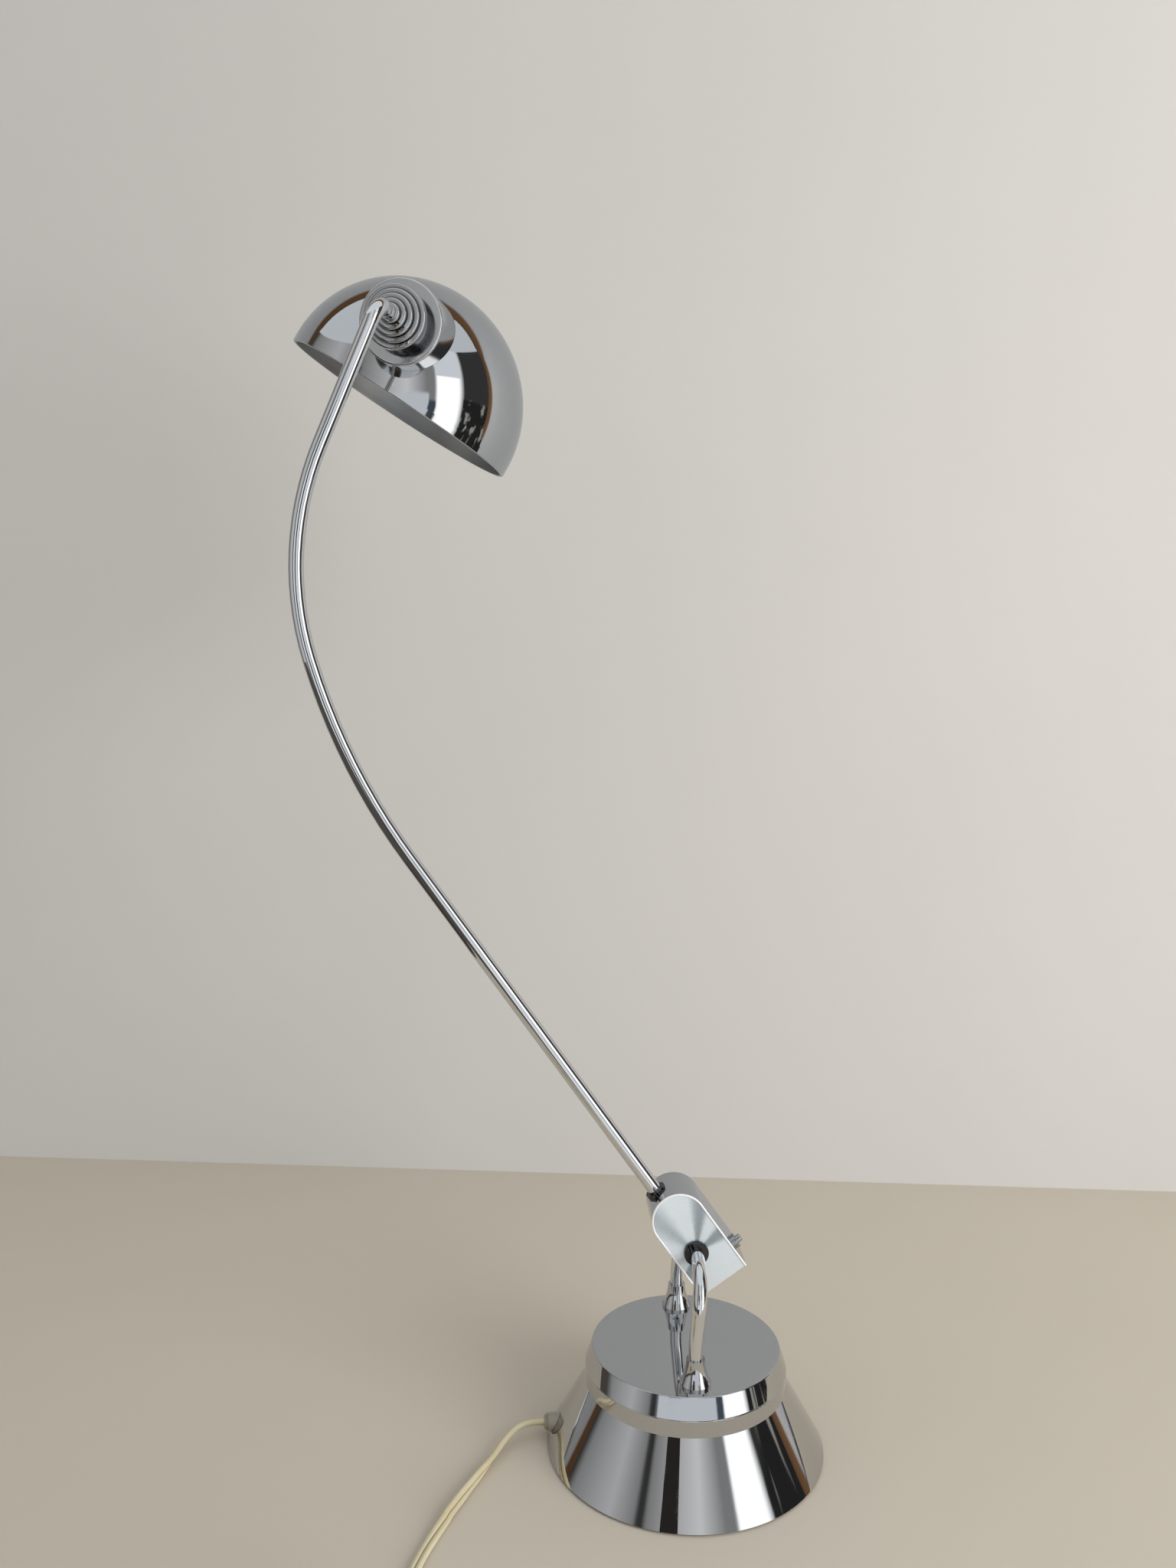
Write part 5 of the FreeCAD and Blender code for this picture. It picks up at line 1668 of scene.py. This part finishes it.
class Dresser:
    """Gives the CAD nodes their finishes."""

    def __init__(self, library: FinishLibrary, nodes: dict[str, Item]) -> None:
        """Args:
            library: the finishes.
            nodes: the CAD nodes by name.
        """
        self.library = library
        self.nodes = nodes

    def paint(self, name: str, material: Material) -> None:
        """Puts a material in a node's slots."""
        mesh = self.nodes[name].data
        if not mesh.materials:
            mesh.materials.append(material)
        for index in range(len(mesh.materials)):
            mesh.materials[index] = material

    def dress(self) -> None:
        """Paints every node that keeps its CAD mesh."""
        for finish, names in NODE_FINISHES.items():
            for name in names:
                self.paint(name, self.library.get(finish))
        self.paint("shade", self.shade_material())
        ringed, turned = self.ring_material(), self.plate_material()
        for name in ("swivel_hub", "arm_collar"):
            self.paint(name, ringed)
        for name in ("hinge_plate_front", "hinge_plate_rear"):
            self.paint(name, turned)

    def plate_material(self) -> Material:
        """Satin plate turned on a lathe: fine rings about the pivot, and painted highlights in soft rays about
        the pivot that lighten its bluish colour.
        """
        material, g, surface = self.library.start("turned_satin")
        spot = g.place()
        pivot = tuple(Vector(SIZES.pivot) * MM)
        local = g.vector("SUBTRACT", spot, pivot)
        sideways, _, upwards = g.split(local)
        bearing = g.math("ARCTAN2", sideways, upwards)
        away = g.length(local)
        towards = {0: g.math("SINE", bearing), 1: g.math("COSINE", bearing), 2: 0.3}
        rays = g.node("ShaderNodeCombineXYZ", towards)
        # painted highlight: soft rays about the pivot, turned into a pale bluish colour below
        soft = g.remap(g.noise(rays.outputs[0], 2.1, 0.0, 0.4), 0.30, 0.62)
        rings = g.node("ShaderNodeCombineXYZ", {0: g.times(away, 5200.0), 1: g.times(bearing, 3.0), 2: 0.0})
        grain = g.noise(rings.outputs[0], 1.0, 2.0, 0.6)
        worn = g.group(self.library.effects.handled, Vector=spot, Smudge=0.9, Scratch=0.8, Dust=0.3).outputs
        tone = g.times(worn["Tone"], g.remap(grain, 0.2, 0.8, 0.93, 1.0))
        # painted highlight: the colour runs from grey-blue to near white across the rays
        plain = g.mix(soft, (0.34, 0.40, 0.45, 1.0), (0.84, 0.915, 0.975, 1.0))
        g.feed(surface.inputs["Base Color"], g.mix(1.0, plain, tone, "MULTIPLY"))
        surface.inputs["Metallic"].default_value = 0.55
        surface.inputs["Anisotropic"].default_value = 0.6
        g.feed(surface.inputs["Tangent"], g.vector("CROSS_PRODUCT", local, (0.0, 1.0, 0.0)))
        rough = g.plus(worn["Roughness"], g.remap(soft, 0.0, 1.0, 0.22, 0.34), clamp=True)
        g.feed(surface.inputs["Roughness"], rough)
        g.bump(surface, 0.3, g.plus(g.times(grain, 0.10), g.times(worn["Height"], 0.06)))
        return material

    def ring_material(self) -> Material:
        """Chrome of the stepped rings, with painted shade darkening the groove at each ring's foot."""
        material, g, surface = self.library.start("ringed_chrome")
        self.library.fill(g, surface, RING_CHROME)
        frame = in_metres(head_frame())
        local = g.vector("SUBTRACT", g.place(), tuple(frame.translation))
        outward = g.vector("CROSS_PRODUCT", local, tuple(frame.col[1].xyz.normalized()))
        count = g.math("DIVIDE", g.minus(g.length(outward), SIZES.nose_radius * MM), SIZES.ring_step * MM)
        # painted shade: the colour falls to 0.16 at each ring's foot and comes back over the ring's step
        bright = g.remap(g.math("FRACT", count), 0.04, 0.42, 0.16, 1.0)
        colour = surface.inputs["Base Color"].links[0].from_socket
        g.feed(surface.inputs["Base Color"], g.mix(1.0, colour, bright, "MULTIPLY"))
        return material

    def strip_material(self) -> Material:
        """Mirror chrome with a painted highlight on the strip's two rolled edges: a pale colour, rougher and
        less metallic there.
        """
        material, g, surface = self.library.start("strip_chrome")
        self.library.fill(g, surface, CHROME)
        _, across, _ = g.split(g.place())
        half = HingeStrip.width / 2
        # painted highlight: the rolled edges turn pale, nearly white
        rim = g.remap(g.math("ABSOLUTE", across), (half - 0.75) * MM, (half - 0.55) * MM)
        colour = surface.inputs["Base Color"].links[0].from_socket
        g.feed(surface.inputs["Base Color"], g.mix(rim, colour, (0.93, 0.95, 0.97, 1.0)))
        rough = surface.inputs["Roughness"].links[0].from_socket
        g.feed(surface.inputs["Roughness"], g.plus(rough, g.times(rim, 0.22), clamp=True))
        g.feed(surface.inputs["Metallic"], g.remap(rim, 0.0, 1.0, 1.0, 0.25))
        return material

    def shade_material(self) -> Material:
        """Mirror chrome outside and satin grey inside, told apart by distance from the dome's centre."""
        material, g, surface = self.library.start("shade_chrome")
        self.library.fill(g, surface, CHROME)
        centre = in_metres(shade_frame()) @ Vector((0, 0, SIZES.shade_skirt))
        away = g.length(g.vector("SUBTRACT", g.place(), tuple(centre)))
        inside = g.remap(away, (SIZES.shade_radius - 0.75) * MM, (SIZES.shade_radius - 0.85) * MM)
        colour = surface.inputs["Base Color"].links[0].from_socket
        g.feed(surface.inputs["Base Color"], g.mix(inside, colour, (0.50, 0.50, 0.50, 1.0)))
        rough = surface.inputs["Roughness"].links[0].from_socket
        satin = g.plus(rough, g.times(inside, 0.38), clamp=True)
        g.feed(surface.inputs["Roughness"], satin)
        return material


# The whole scene


def corners() -> list[list[float]]:
    """Lowest and highest corner of everything at rest, as plain numbers."""
    return [[float(value) for value in corner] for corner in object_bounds()]


def main() -> None:
    """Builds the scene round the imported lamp."""
    logging.basicConfig(level=logging.INFO, format="%(name)s: %(message)s")
    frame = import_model()
    nodes = frame["nodes"]
    make_camera(Shot())
    Studio().build()
    library = FinishLibrary(Effects())
    repeater = Repeater()
    CordSet(library, repeater).build(nodes)
    BulbDetails(library, repeater).build()
    dresser = Dresser(library, nodes)
    Lid(library.get(CHROME)).build()
    HingeStrip(dresser.strip_material()).build()
    dresser.dress()


if __name__ == "__main__":
    main()
